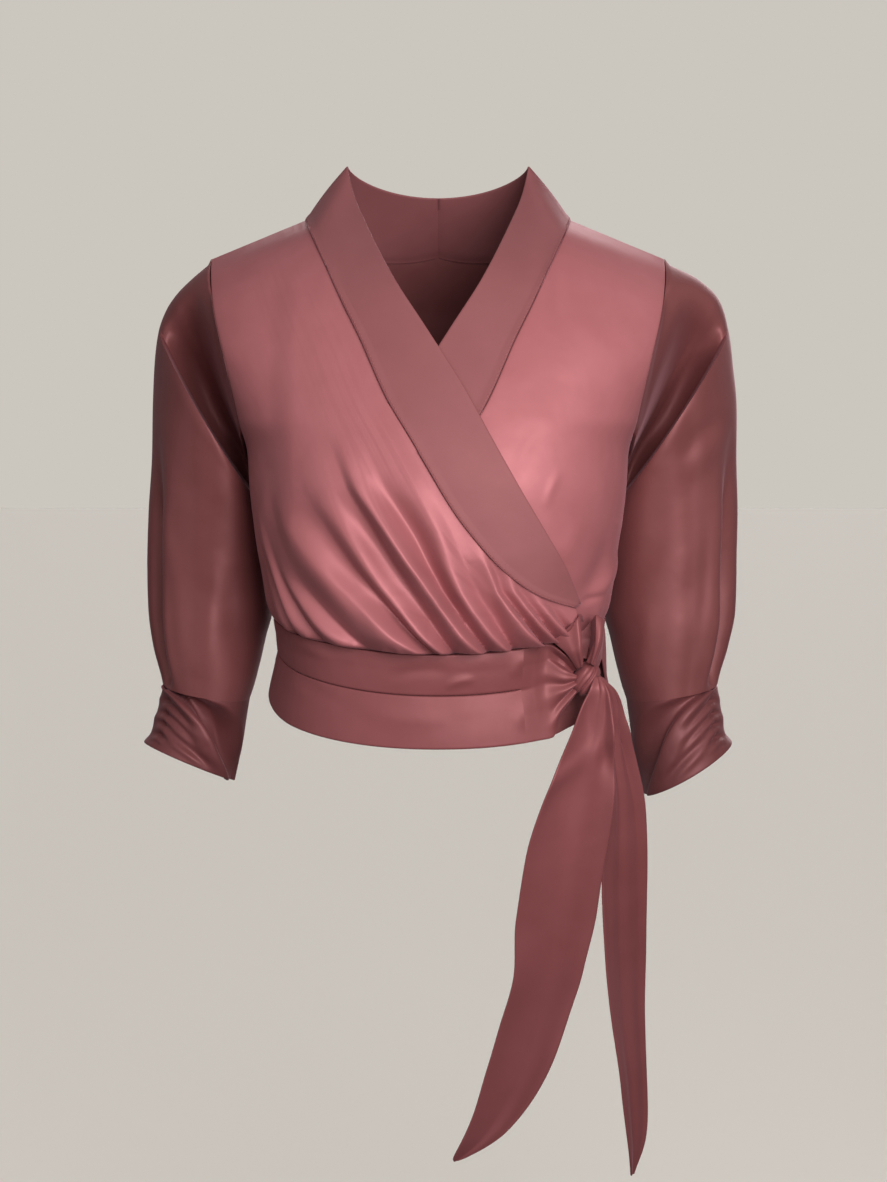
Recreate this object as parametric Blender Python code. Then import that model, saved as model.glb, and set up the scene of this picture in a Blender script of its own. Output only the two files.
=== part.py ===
"""A satin wrap crop top with a band collar, full sleeves with ruched cuffs and a tied sash.

The top keeps the shape that it has on a wearer. The origin lies between the two
points where the collar crosses the shoulders. -Y is the front, +Z is up, and the
sash is tied at +X. Tables and sizes are in millimetres, and MM turns them into metres.
"""

import math

import bmesh
import bpy
import numpy as np

MM = 0.001

# Driving sizes
WALL = 1.5              # one layer of satin with its seam allowances
DOUBLE_WALL = 2.0       # collar, waistband, cuffs and ties, which are folded double
SEAM_GAP = 0.3          # distance between two pieces at a seam
WRAP_LIFT = 2.6         # how far the right front lies above the left front
NECK_X = 115.0          # where the collar crosses the shoulder
SHOULDER_X = 197.0      # end of the shoulder seam
UNDERARM_RISE = 0.48    # the row of the body table that meets the underarm
WAIST_FRONT_DIP = 21.0  # how far the waist seam drops from side to centre front
WAIST_DIP_POWER = 1.6   # how fast it drops away from the side
SECTION_POWER = 2.3     # the body's sections are a little squarer than an ellipse
EDGE_RISE = 0.095       # the row where the collar ends
NECK_DROP = 0.115       # how far the back's neck edge lies below the shoulder seam
NORMAL_STEP = 1e-3

# The body, from the waist seam up to the shoulder seam. "side" is the side seam, and
# above the underarm it is the armhole. "bow" shapes a section: low is round at the side.
BODY_COLUMNS = ("rise", "z_side", "x_side", "y_side_front", "y_front",
                "y_side_back", "y_back", "bow", "slope")
BODY_ROWS = (
    (0.00, -344.0, 142.0, 4.0, -104.0, 4.0, 92.0, 0.44, 0.00),
    (0.05, -331.0, 147.5, 4.0, -114.0, 4.0, 97.0, 0.44, 0.00),
    (0.13, -308.0, 152.5, 4.0, -122.0, 4.0, 100.0, 0.44, 0.00),
    (0.25, -270.0, 158.5, 4.0, -128.5, 4.0, 102.0, 0.44, 0.00),
    (0.39, -230.0, 163.0, 4.0, -130.0, 4.0, 104.0, 0.44, 0.00),
    (0.48, -205.0, 164.5, 4.0, -127.0, 4.0, 106.0, 0.46, 0.00),
    (0.60, -174.0, 169.0, -45.0, -119.0, 58.0, 107.0, 0.62, 0.03),
    (0.75, -124.0, 179.0, -60.0, -102.0, 74.0, 102.0, 0.78, 0.13),
    (0.88, -80.0, 190.0, -46.0, -80.0, 58.0, 84.0, 0.85, 0.27),
    (0.96, -48.0, 195.5, -20.0, -46.0, 26.0, 52.0, 0.90, 0.37),
    (1.00, -34.0, 197.0, 0.0, 0.0, 0.0, 0.0, 0.95, 0.415),
)

# The rows of the panels. All panels and the sleeves share the rows above the underarm.
ARMHOLE_ROWS = (0.48, 0.50, 0.53, 0.57, 0.62, 0.69, 0.76, 0.83, 0.90, 0.95, 0.98, 1.0)
RIGHT_ROWS = (0.0, 0.02, 0.05, EDGE_RISE, 0.13, 0.17, 0.22, 0.27, 0.33, 0.39, 0.44)
PLAIN_ROWS = (0.0, 0.04, EDGE_RISE, 0.16, 0.23, 0.31, 0.39)

# The edge of the right front, where the collar is sewn on, and the collar's free edge,
# as they show from the front. Both run from the neck to the left side of the waist.
FRONT_EDGE_COLUMNS = ("x_seam", "z_seam", "x_free", "z_free")
FRONT_EDGE_ROWS = (
    (-115.0, 0.0, -79.0, 47.0),
    (-102.0, -29.0, -72.0, 20.0),
    (-91.0, -52.0, -59.0, -11.0),
    (-77.0, -81.0, -36.0, -57.0),
    (-64.0, -107.0, -10.0, -98.0),
    (-41.0, -158.0, 22.0, -149.0),
    (-22.0, -190.0, 44.0, -190.0),
    (19.0, -257.0, 67.0, -231.0),
    (54.0, -297.0, 87.0, -265.0),
    (82.0, -317.0, 105.0, -297.0),
    (108.0, -329.0, 116.0, -322.0),
)
COLLAR_NECK_HUG = (0.0, -14.0, -42.0, -70.0)  # y of the free edge beside the neck
COLLAR_LIFT = 0.4            # the collar is thicker than the front that it is sewn to
UNDER_COLLAR_LIFT = 0.2
COLLAR_CROWN = 1.4           # how far the standing collar bows out between its edges
COLLAR_TIP = (79.0, 47.0)    # x and z of the free edge above the shoulder
COLLAR_BACK = (50.0, 25.0)   # y and z of the free edge at the centre back
COLLAR_ROWS_ACROSS = 4
NECK_STEPS = 7

# Gathers above the waist seam. Each row is one fold: its place along the waist seam, its
# place where it fades out, how high it climbs, its half width and its height.
# The right front's columns of points follow its folds, so it needs no widths.
FOLD_COLUMNS = ("at_seam", "at_top", "reach", "height")
RIGHT_FOLDS = (
    (0.300, 0.10, 0.30, 4.0),
    (0.400, 0.16, 0.34, 6.0),
    (0.470, 0.24, 0.40, 8.0),
    (0.525, 0.34, 0.46, 9.5),
    (0.578, 0.47, 0.52, 10.5),
    (0.628, 0.60, 0.60, 11.0),
    (0.675, 0.70, 0.66, 11.0),
    (0.720, 0.775, 0.56, 10.5),
    (0.762, 0.81, 0.44, 10.0),
    (0.802, 0.84, 0.36, 9.5),
    (0.840, 0.87, 0.30, 9.0),
    (0.877, 0.895, 0.25, 8.0),
    (0.912, 0.92, 0.20, 7.0),
    (0.945, 0.945, 0.16, 5.0),
)
SIDE_COLUMNS = 4             # columns of points between the side seam and the first fold
GATHER_COLUMNS = ("at_seam", "at_top", "reach", "half_width", "height")
LEFT_GATHERS = (
    (0.110, 0.13, 0.20, 0.035, 2.0),
    (0.190, 0.20, 0.30, 0.030, 2.5),
)
LEFT_GATHER_X = (110.0, 124.0)  # the left front is smooth under the right front
BACK_GATHERS = (
    (0.27, 0.28, 0.46, 0.036, 5.0),
    (0.36, 0.37, 0.38, 0.032, 6.0),
    (0.45, 0.45, 0.50, 0.034, 6.0),
    (0.55, 0.55, 0.44, 0.034, 6.0),
    (0.64, 0.63, 0.40, 0.032, 6.0),
    (0.74, 0.73, 0.48, 0.036, 5.0),
)
GATHER_SPREAD = 1.1          # a fold is this much wider where it fades out
GATHER_START = 0.2           # a fold leaves the seam at this share of its half turn
LEFT_PLACES = ((0.0, 0.24, 9), (0.24, 1.0, 11))

# The waistband: two strips sewn together. z gives the heights at the side, and dip how
# much lower the same line runs at the centre front.
BAND_COLUMNS = ("z_side", "dip", "dip_power", "x_side", "y_front", "y_back")
BAND_ROWS = (
    (-344.45, WAIST_FRONT_DIP, WAIST_DIP_POWER, 142.0, -104.0, 92.0),
    (-357.0, 23.0, 1.4, 139.0, -103.0, 90.5),
    (-371.0, 28.0, 1.2, 138.5, -103.0, 90.5),
    (-389.0, 31.0, 1.0, 141.5, -105.5, 93.0),
    (-409.0, 33.0, 0.9, 147.0, -109.0, 96.0),
)
UPPER_STRIP = (0, 1, 2)
LOWER_STRIP = (2, 3, 4)
UNDER_STRIP = (0, 2, 3, 4)
BAND_Y_SIDE = 4.0
BAND_LIFT = 0.4              # the band's lift above the body form round the back
BAND_STEP = 0.6              # the upper strip lies a little proud of the lower one
BAND_START = -280.0          # degrees from the centre front, going round the back
BAND_END = 41.0              # where the strips are gathered into the knot
BAND_STEPS = 44
UNDERBAND_LIFT = -0.4
UNDERBAND = (-50.0, 89.0, 20)

# A sleeve at -X, from the armhole to the pinch above the cuff. Each ring runs from an
# outer point to an inner point in the front view. The front and back columns are its
# reach in Y, and "hollow" how far its front falls back into the fold at the armhole.
# "spread" is how much further out the sleeve at +X hangs.
SLEEVE_COLUMNS = ("x_out", "z_out", "x_in", "z_in", "y_mid", "front", "back",
                  "hollow", "groove", "spread")
SLEEVE_ROWS = (
    (-200.0, -39.0, -167.0, -211.0, 6.0, 62.0, 66.0, 4.0, 0.0, 2.0),
    (-215.0, -51.0, -168.0, -217.0, 10.0, 62.0, 66.0, 24.0, 0.0, 12.0),
    (-229.0, -64.0, -169.0, -224.0, 16.0, 62.0, 66.0, 54.0, 0.0, 14.0),
    (-239.5, -78.0, -165.0, -233.0, 24.0, 62.0, 66.0, 56.0, 0.0, 12.0),
    (-246.0, -95.0, -160.0, -243.0, 28.0, 68.0, 66.0, 8.0, 0.0, 10.0),
    (-250.0, -120.0, -156.0, -253.0, 32.0, 67.0, 65.0, 0.0, 0.0, 10.0),
    (-252.5, -160.0, -152.0, -270.0, 36.0, 65.0, 64.0, 0.0, 0.0, 12.0),
    (-254.0, -207.0, -150.0, -292.0, 40.0, 62.0, 62.0, 0.0, 3.0, 11.0),
    (-257.5, -257.0, -150.0, -316.0, 42.0, 59.0, 60.0, 0.0, 8.0, 9.0),
    (-258.7, -302.0, -147.5, -342.0, 42.0, 56.0, 58.0, 0.0, 12.0, 7.0),
    (-257.5, -340.0, -153.0, -366.0, 40.0, 54.0, 55.0, 0.0, 13.0, 7.0),
    (-253.0, -372.0, -158.5, -391.0, 37.0, 50.0, 51.0, 0.0, 11.0, 5.0),
    (-246.0, -397.0, -164.0, -412.0, 34.0, 45.0, 46.0, 0.0, 5.0, 4.0),
    (-243.0, -408.0, -167.0, -421.0, 32.0, 42.0, 43.0, 0.0, 0.0, 4.0),
)
CUFF_ROWS = (
    (-243.0, -408.4, -167.0, -421.4, 32.0, 42.0, 43.0, 0.0, 0.0, 4.0),
    (-246.0, -422.0, -170.0, -440.0, 31.0, 43.0, 44.0, 0.0, 0.0, 3.0),
    (-249.0, -435.0, -172.5, -458.0, 29.0, 44.0, 44.5, 0.0, 0.0, 2.0),
    (-253.0, -449.0, -176.0, -476.0, 27.0, 44.5, 45.0, 0.0, 0.0, 0.0),
    (-256.5, -459.0, -179.5, -492.0, 24.0, 44.0, 45.0, 0.0, 0.0, 0.0),
)
ARMHOLE_GAP = 0.5
SLEEVE_CLEARANCE = 1.8       # between the sleeve and the side of the body
CUFF_SIDES = 30
CUFF_PLEATS = 10
CUFF_PLEAT_DEPTH = 2.4
CUFF_BACK_PLEATS = 0.35      # share of the pleats' depth on the cuff's inner side
GROOVE_ANGLE = 34.0          # degrees round the sleeve from its outer side to the front
GROOVE_WIDTH = 15.0
HOLLOW_ANGLE = 108.0
HOLLOW_WIDTH = 46.0
LEFT_CUFF_DROP = 12.0        # the inner side of the cuff at +X hangs this much lower

# The knot, and the sash ends that leave it. Each end's first row lies on the knot.
KNOT_CENTRE = (127.0, -79.0, -391.0)
KNOT_RADII = (15.0, 12.5, 18.5)
KNOT_GAP = 0.5
KNOT_SEGMENTS = (18, 10)
KNOT_DENT = (0.10, 0.16, 0.55, 0.25)  # depth, width, slant and shift of the wound cloth
TIE_COLUMNS = ("x", "y", "z", "half_width", "turn", "cup", "shear")
FRONT_TIE_ROWS = (
    (128.0, -87.0, -407.0, 10.0, 4.0, 5.0, 0.0),
    (127.0, -91.0, -432.0, 18.0, 4.0, 7.0, 0.0),
    (121.5, -92.0, -457.0, 25.0, 5.0, 8.0, 0.0),
    (115.5, -92.0, -484.0, 31.0, 5.0, 8.0, 0.0),
    (105.0, -90.0, -532.0, 34.5, 7.0, 6.0, 0.0),
    (97.5, -87.0, -582.0, 34.5, 8.0, 4.0, 2.0),
    (91.0, -84.0, -631.0, 30.0, 8.0, 4.0, 3.0),
    (80.0, -81.0, -670.0, 29.5, 8.0, 4.0, 3.0),
    (69.0, -79.0, -706.0, 29.0, 8.0, 4.0, 4.0),
    (53.5, -77.0, -744.0, 25.0, 8.0, 3.0, 4.0),
    (35.0, -76.0, -772.0, 18.0, 8.0, 2.0, 3.0),
    (20.0, -75.0, -786.0, 8.0, 8.0, 1.0, 1.0),
    (14.5, -74.5, -790.0, 2.0, 8.0, 0.5, 0.0),
)
BACK_TIE_ROWS = (
    (140.0, -74.0, -405.0, 8.0, 50.0, 4.0, 0.0),
    (146.0, -71.0, -428.0, 14.0, 48.0, 6.0, 0.0),
    (150.5, -70.0, -462.0, 19.0, 44.0, 8.0, 0.0),
    (154.0, -68.0, -500.0, 23.0, 42.0, 7.0, 0.0),
    (154.5, -66.0, -560.0, 26.0, 40.0, 5.0, 0.0),
    (156.0, -64.0, -620.0, 26.0, 42.0, 5.0, 0.0),
    (158.0, -62.0, -675.0, 24.0, 46.0, 5.0, 0.0),
    (162.0, -60.0, -730.0, 20.0, 50.0, 4.0, 0.0),
    (165.0, -59.0, -780.0, 13.5, 52.0, 3.0, 0.0),
    (162.5, -58.0, -808.0, 3.0, 54.0, 1.0, 0.0),
)
TIE_POINTS_ACROSS = 7

# The gathered sash ends beside the knot. Each row runs from the waistband to the knot:
# "height" is its place up the band, x, y and z its middle, and azimuth and elevation
# where it meets the knot, in degrees from straight ahead and from level.
FAN_COLUMNS = ("height", "x", "y", "z", "azimuth", "elevation")
FRONT_FAN_ROWS = (
    (0.0, 108.0, -83.0, -419.0, -62.0, -38.0),
    (0.5, 107.0, -88.0, -393.0, -66.0, 5.0),
    (1.0, 107.0, -87.0, -367.0, -62.0, 44.0),
)
BACK_FAN_ROWS = (
    (0.0, 146.0, -52.0, -404.0, 82.0, -22.0),
    (0.35, 147.0, -54.0, -378.0, 62.0, 18.0),
    (0.7, 138.0, -72.0, -350.0, 20.0, 52.0),
    (1.0, 119.0, -89.0, -342.0, -40.0, 52.0),
)
FAN_GAP = 0.4
FAN_LIFT = 6.0
FAN_STEPS = 9
FRONT_FAN_PLEATS = 2.5
BACK_FAN_PLEATS = 3.5
FRONT_FAN_POINTS = 13
BACK_FAN_POINTS = 19
FAN_PLEAT_DEPTH = 1.5

# Colours and finishes
SATIN = (0.33, 0.115, 0.125, 1.0)
COLLAR_SATIN = (0.29, 0.10, 0.11, 1.0)
SATIN_ROUGHNESS = 0.38


def clear_scene():
    for obj in list(bpy.data.objects):
        bpy.data.objects.remove(obj, do_unlink=True)


def satin_material(name, colour):
    material = bpy.data.materials.new(name)
    material.use_nodes = True
    shader = material.node_tree.nodes["Principled BSDF"]
    shader.inputs["Base Color"].default_value = colour
    shader.inputs["Roughness"].default_value = SATIN_ROUGHNESS
    shader.inputs["Metallic"].default_value = 0.0
    return material


def named(columns, rows):
    """A table as a dict of arrays, one for each column."""
    return {name: np.array([row[i] for row in rows]) for i, name in enumerate(columns)}


def spline(stations, values, at):
    """A smooth curve through values at stations that never swings past them."""
    stations = np.asarray(stations, float)
    values = np.asarray(values, float)
    at = np.clip(np.asarray(at, float), stations[0], stations[-1])
    rates = np.diff(values) / np.diff(stations)
    slopes = np.concatenate([rates[:1], np.zeros(len(rates) - 1), rates[-1:]])
    for k in range(1, len(rates)):
        if rates[k - 1] * rates[k] > 0:
            slopes[k] = 2 * rates[k - 1] * rates[k] / (rates[k - 1] + rates[k])
    k = np.clip(np.searchsorted(stations, at, side="right") - 1, 0, len(stations) - 2)
    width = stations[k + 1] - stations[k]
    f = (at - stations[k]) / width
    return ((2 * f**3 - 3 * f**2 + 1) * values[k]
            + (f**3 - 2 * f**2 + f) * width * slopes[k]
            + (3 * f**2 - 2 * f**3) * values[k + 1]
            + (f**3 - f**2) * width * slopes[k + 1])


def smoothstep(low, high, value):
    f = np.clip((np.asarray(value, float) - low) / (high - low), 0.0, 1.0)
    return f * f * (3 - 2 * f)


def unit(vectors):
    return vectors / np.linalg.norm(vectors, axis=-1, keepdims=True)


BODY = named(BODY_COLUMNS, BODY_ROWS)
BAND = named(BAND_COLUMNS, BAND_ROWS)
FRONT_EDGE = named(FRONT_EDGE_COLUMNS, FRONT_EDGE_ROWS)


def body_value(column, rise):
    return spline(BODY["rise"], BODY[column], rise)


def front_edge(column, station):
    return spline(np.arange(len(FRONT_EDGE_ROWS)), FRONT_EDGE[column], station)


def body_point(share, rise, back):
    """A point of the bare body form. share runs from -1 at one side to 1 at the other."""
    share, rise = np.broadcast_arrays(np.asarray(share, float), np.asarray(rise, float))
    x_side = body_value("x_side", rise)
    y_side = body_value("y_side_back" if back else "y_side_front", rise)
    y_centre = body_value("y_back" if back else "y_front", rise)
    bulge = np.clip(1 - np.abs(share) ** SECTION_POWER, 0, 1) ** body_value("bow", rise)
    x = share * x_side
    y = y_side + (y_centre - y_side) * bulge
    z = body_value("z_side", rise) + body_value("slope", rise) * (x_side - np.abs(x))
    if not back:
        towards_centre = np.sqrt(np.clip(1 - share**2, 0, 1)) ** WAIST_DIP_POWER
        z = z - WAIST_FRONT_DIP * towards_centre * (1 - smoothstep(0.0, 0.5, rise))
    return np.stack([x, y, z], -1)


def body_normal(share, rise, back):
    """The outward direction of the body form, level with the next piece's at a seam."""
    share, rise = np.broadcast_arrays(np.asarray(share, float), np.asarray(rise, float))
    s = np.clip(share, -1 + 2 * NORMAL_STEP, 1 - 2 * NORMAL_STEP)
    r = np.clip(rise, NORMAL_STEP, 1 - NORMAL_STEP)
    along = body_point(s + NORMAL_STEP, r, back) - body_point(s - NORMAL_STEP, r, back)
    up = body_point(s, r + NORMAL_STEP, back) - body_point(s, r - NORMAL_STEP, back)
    normal = unit(np.cross(along, up) * (-1 if back else 1))
    at_side = smoothstep(0.97, 1.0, np.abs(share)) * (rise <= UNDERARM_RISE)
    at_shoulder = smoothstep(0.985, 1.0, rise)
    normal[..., 1] *= 1 - np.maximum(at_side, at_shoulder)
    normal[..., 2] *= smoothstep(0.0, 0.1, rise)
    return unit(normal)


def front_rise(x, z):
    """The rise at which the front of the body form passes through x and z."""
    rises = np.linspace(0, 1, 301)
    x_side = body_value("x_side", rises)
    found = np.zeros(np.shape(x))
    for index in np.ndindex(found.shape):
        heights = body_point(np.clip(x[index] / x_side, -1, 1), rises, False)[:, 2]
        found[index] = np.interp(z[index], heights, rises)
    return found


def edge_stations(rises):
    """Where the front's neck edge crosses rows of the body, in rows of the edge table."""
    samples = np.linspace(0, len(FRONT_EDGE_ROWS) - 1, 801)
    x, z = front_edge("x_seam", samples), front_edge("z_seam", samples)
    stations = []
    for rise in rises:
        row_z = body_point(x / body_value("x_side", rise), rise, False)[:, 2]
        stations.append(np.interp(0.0, row_z - z, samples))
    return np.array(stations)


def gathers(rows, place, rise):
    """Height of the folds of a table at a place along the seam and a rise."""
    table = named(GATHER_COLUMNS, rows)
    height = np.zeros(np.broadcast(place, rise).shape)
    for k in range(len(rows)):
        climb = np.clip(rise / table["reach"][k], 0, 1)
        middle = table["at_seam"][k] + (table["at_top"][k] - table["at_seam"][k]) * climb
        width = table["half_width"][k] * (1 + GATHER_SPREAD * climb)
        height += table["height"][k] * np.exp(-((place - middle) / width) ** 2) * swell(climb)
    return height


def swell(climb):
    """How high a fold is along its way up, as a share of its full height."""
    turn = np.pi * (GATHER_START + (1 - GATHER_START) * climb)
    return np.clip(np.sin(turn), 0, 1) ** 0.8


def fold_lines(rise):
    """Places and heights of the right front's columns at each row.

    They run from the side seam over the crest and the valley of each fold to the edge.
    """
    table = named(FOLD_COLUMNS, RIGHT_FOLDS)
    climb = np.clip(rise[:, None] / table["reach"], 0, 1)
    crest = table["at_seam"] + (table["at_top"] - table["at_seam"]) * climb
    edge = np.ones((len(rise), 1))
    valley = (crest + np.concatenate([crest[:, 1:], edge], 1)) / 2
    beside = crest[:, :1] * np.arange(SIDE_COLUMNS) / SIDE_COLUMNS
    folds = np.stack([crest, valley], -1).reshape(len(rise), -1)
    heights = np.stack([table["height"] * swell(climb), 0 * climb], -1)
    place = np.concatenate([beside, folds, edge], 1)
    height = np.concatenate([0 * beside, heights.reshape(len(rise), -1), 0 * edge], 1)
    return place, height


def closed_grid(name, outer, inner, material, collection, ring=False):
    """A wall between two equal grids of points, closed at its open borders."""
    rows, columns = outer.shape[:2]
    points = np.concatenate([outer.reshape(-1, 3), inner.reshape(-1, 3)]) * MM
    shift = rows * columns
    mesh = bpy.data.meshes.new(name)
    bm = bmesh.new()
    verts = [bm.verts.new(p) for p in points]

    def at(r, c, side):
        return verts[r * columns + c % columns + side * shift]

    steps = columns if ring else columns - 1
    for r in range(rows - 1):
        for c in range(steps):
            bm.faces.new([at(r, c, 0), at(r, c + 1, 0), at(r + 1, c + 1, 0), at(r + 1, c, 0)])
            bm.faces.new([at(r, c, 1), at(r + 1, c, 1), at(r + 1, c + 1, 1), at(r, c + 1, 1)])
    for c in range(steps):
        for r in (0, rows - 1):
            bm.faces.new([at(r, c, 0), at(r, c, 1), at(r, c + 1, 1), at(r, c + 1, 0)])
    if not ring:
        for r in range(rows - 1):
            for c in (0, columns - 1):
                bm.faces.new([at(r, c, 0), at(r + 1, c, 0), at(r + 1, c, 1), at(r, c, 1)])
    bmesh.ops.recalc_face_normals(bm, faces=bm.faces)
    if bm.calc_volume(signed=True) < 0:
        bmesh.ops.reverse_faces(bm, faces=bm.faces)
    bm.to_mesh(mesh)
    bm.free()
    mesh.shade_smooth()
    mesh.materials.append(material)
    obj = bpy.data.objects.new(name, mesh)
    collection.objects.link(obj)
    return obj


def mirrored(points):
    return points * np.array([-1.0, 1.0, 1.0])


def wrap_lift(x, rise):
    """The right front rises over the left front, and comes down again at its seams."""
    return WRAP_LIFT * smoothstep(-141.0, -116.0, x) * (1 - smoothstep(0.80, 0.95, rise))


def front_panel(name, material, collection, over, rows):
    """One front, from its side seam to the diagonal edge that carries the collar.

    over is True for the right front, which lies on top. The left front is its mirror
    image and lies under it.
    """
    edge_x = front_edge("x_seam", edge_stations(rows))
    edge_angle = np.arcsin(edge_x / body_value("x_side", rows))
    if over:
        place, fold = fold_lines(rows)
    else:
        columns = np.unique(np.concatenate([np.linspace(*run) for run in LEFT_PLACES]))
        place = np.repeat(columns[None, :], len(rows), 0)
    share = np.sin(-np.pi / 2 + (edge_angle[:, None] + np.pi / 2) * place)
    rise = np.repeat(rows[:, None], place.shape[1], 1)
    point = body_point(share, rise, False)
    normal = body_normal(share, rise, False)
    if over:
        lift = wrap_lift(point[..., 0], rise) + fold
    else:
        lift = gathers(LEFT_GATHERS, place, rise) * smoothstep(*LEFT_GATHER_X, -point[..., 0])
        lift *= smoothstep(0.0, 0.05, place)
    outer = point + normal * lift[..., None]
    at_side_seam = (place == 0.0) & (rise <= UNDERARM_RISE)
    outer[..., 1] -= np.where(at_side_seam, SEAM_GAP / 2, 0.0)
    outer[-1, :, 1] -= SEAM_GAP / 2
    inner = outer - normal * WALL
    if not over:
        outer, inner = mirrored(outer), mirrored(inner)
    closed_grid(name, outer, inner, material, collection)


def neck_shares():
    """Shares of the back's neck edge, from the centre to the shoulder at +X."""
    return NECK_X / SHOULDER_X * np.sin(np.linspace(0, np.pi / 2, NECK_STEPS))


def back_top_rise(share):
    """The row that the back's top edge reaches: the shoulder, or the neck's hollow."""
    neck = np.clip(1 - (np.abs(share) * SHOULDER_X / NECK_X) ** 2, 0, 1)
    return 1.0 - NECK_DROP * neck**0.62


def back_panel(material, collection, rows):
    neck = neck_shares()
    side = np.sin(np.linspace(np.arcsin(neck[-1]), np.pi / 2, 10))
    half = np.concatenate([neck, side[1:]])
    share = np.concatenate([-half[:0:-1], half])
    top = back_top_rise(share)[None, :]
    above_half = 0.5 + (rows[:, None] - 0.5) * (top - 0.5) / 0.5
    rise = np.where(rows[:, None] < 0.5, rows[:, None], above_half)
    share = np.broadcast_to(share[None, :], rise.shape)
    point = body_point(share, rise, True)
    normal = body_normal(share, rise, True)
    fold = gathers(BACK_GATHERS, 0.5 + np.arcsin(share) / np.pi, rise)
    outer = point + normal * fold[..., None]
    at_side_seam = (np.abs(share) > 1 - 1e-9) & (rise <= UNDERARM_RISE)
    outer[..., 1] += np.where(at_side_seam, SEAM_GAP / 2, 0.0)
    outer[-1, :, 1] += SEAM_GAP / 2
    closed_grid("back", outer, outer - normal * WALL, material, collection)


def collar_neck():
    """Seam and free edge of the collar from the centre back to the shoulder at -X."""
    share = -neck_shares()
    seam = body_point(share, back_top_rise(share), True)
    angle = np.linspace(0.0, np.pi / 2, NECK_STEPS)
    rise_to_tip = COLLAR_TIP[1] - (COLLAR_TIP[1] - COLLAR_BACK[1]) * np.cos(angle) ** 1.4
    free = np.stack([-COLLAR_TIP[0] * np.sin(angle), COLLAR_BACK[0] * np.cos(angle),
                     rise_to_tip], -1)
    return seam, free


def collar_half(name, material, collection, over, rows):
    """One half of the collar, from the centre back round the neck and down the front."""
    rises = rows[rows >= EDGE_RISE][::-1]
    at = edge_stations(rises)
    across = np.linspace(0.0, 1.0, COLLAR_ROWS_ACROSS)[:, None]
    x = front_edge("x_seam", at) * (1 - across) + front_edge("x_free", at) * across
    z = front_edge("z_seam", at) * (1 - across) + front_edge("z_free", at) * across
    rise = front_rise(x, z)
    rise[0] = rises
    share = np.clip(x / body_value("x_side", rise), -1, 1)
    lift = wrap_lift(x, rise) + COLLAR_LIFT if over else np.full(x.shape, UNDER_COLLAR_LIFT)
    chest_normal = body_normal(share, rise, False)
    on_body = body_point(share, rise, False) + chest_normal * lift[..., None]
    beside_neck = spline(np.arange(len(COLLAR_NECK_HUG)), COLLAR_NECK_HUG, at)
    hug = smoothstep(1.8, 3.4, at)
    free_y = beside_neck * (1 - hug) + on_body[-1, :, 1] * hug
    straight_y = on_body[0, :, 1] * (1 - across) + free_y * across
    on_chest = smoothstep(1.5, 4.0, at)
    y = straight_y * (1 - on_chest) + on_body[..., 1] * on_chest
    x = x * (1 - on_chest) + on_body[..., 0] * on_chest
    z = z * (1 - on_chest) + on_body[..., 2] * on_chest
    chest = np.stack([x, y, z], -1)

    neck_seam, neck_free = collar_neck()
    neck = neck_seam[None] * (1 - across[..., None]) + neck_free[None] * across[..., None]
    band = np.concatenate([neck, chest[:, 1:]], 1)
    standing = unit(np.cross(np.gradient(band, axis=1), np.gradient(band, axis=0)))
    beside_seam = np.clip(1 - 2 * across, 0, 1) * smoothstep(0.0, 1.0, at)
    chest_share = np.zeros(band.shape[:2] + (1,))
    chest_share[:, NECK_STEPS:, 0] = np.maximum(on_chest, beside_seam)[:, 1:]
    chest_normal = np.concatenate([np.repeat(chest_normal[:, :1], NECK_STEPS, 1),
                                   chest_normal[:, 1:]], 1)
    normal = unit(standing * (1 - chest_share) + chest_normal * chest_share)
    crown = COLLAR_CROWN * np.sin(np.pi * across[..., None]) * (1 - chest_share)
    outer = band + normal * crown
    outer[0] += unit(band[1] - band[0]) * SEAM_GAP * 1.4
    inner = outer - normal * DOUBLE_WALL
    outer[:, 0, 0] = inner[:, 0, 0] = -SEAM_GAP / 2
    if not over:
        outer, inner = mirrored(outer), mirrored(inner)
    closed_grid(name, outer, inner, material, collection)


def waist_line(degrees, row):
    """A line of the waistband on the body form, and its outward directions."""
    angle = np.radians(degrees)
    cos, share = np.cos(angle), np.sin(angle)
    y_centre = np.where(cos >= 0, BAND["y_front"][row], BAND["y_back"][row])
    bulge = np.clip(1 - np.abs(share) ** SECTION_POWER, 0, 1) ** BODY["bow"][0]
    dip = BAND["dip"][row] * np.clip(cos, 0, 1) ** BAND["dip_power"][row]
    point = np.stack([BAND["x_side"][row] * share,
                      BAND_Y_SIDE + (y_centre - BAND_Y_SIDE) * bulge,
                      BAND["z_side"][row] - dip], -1)
    normal = unit(np.stack([share / BAND["x_side"][row], -cos / np.abs(y_centre), 0 * share], -1))
    return point, normal


def band_lift(degrees):
    """The band lies over the wrap at the front, and over the underband at the tied side."""
    x = BAND["x_side"][0] * np.sin(np.radians(degrees))
    front = smoothstep(-141.0, -116.0, x) * (degrees > -90.0)
    tied_side = 1 - smoothstep(-270.0, -260.0, degrees)
    return BAND_LIFT + WRAP_LIFT * np.maximum(front, tied_side)


def band_strip(name, material, collection, degrees, rows, lift):
    outer, inner = [], []
    for k, row in enumerate(rows):
        point, normal = waist_line(degrees, row)
        if k == 0 and row:
            point[:, 2] -= SEAM_GAP
        outer.append(point + normal * lift[:, None])
        inner.append(point + normal * (lift[:, None] - DOUBLE_WALL))
    closed_grid(name, np.array(outer), np.array(inner), material, collection)


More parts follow.
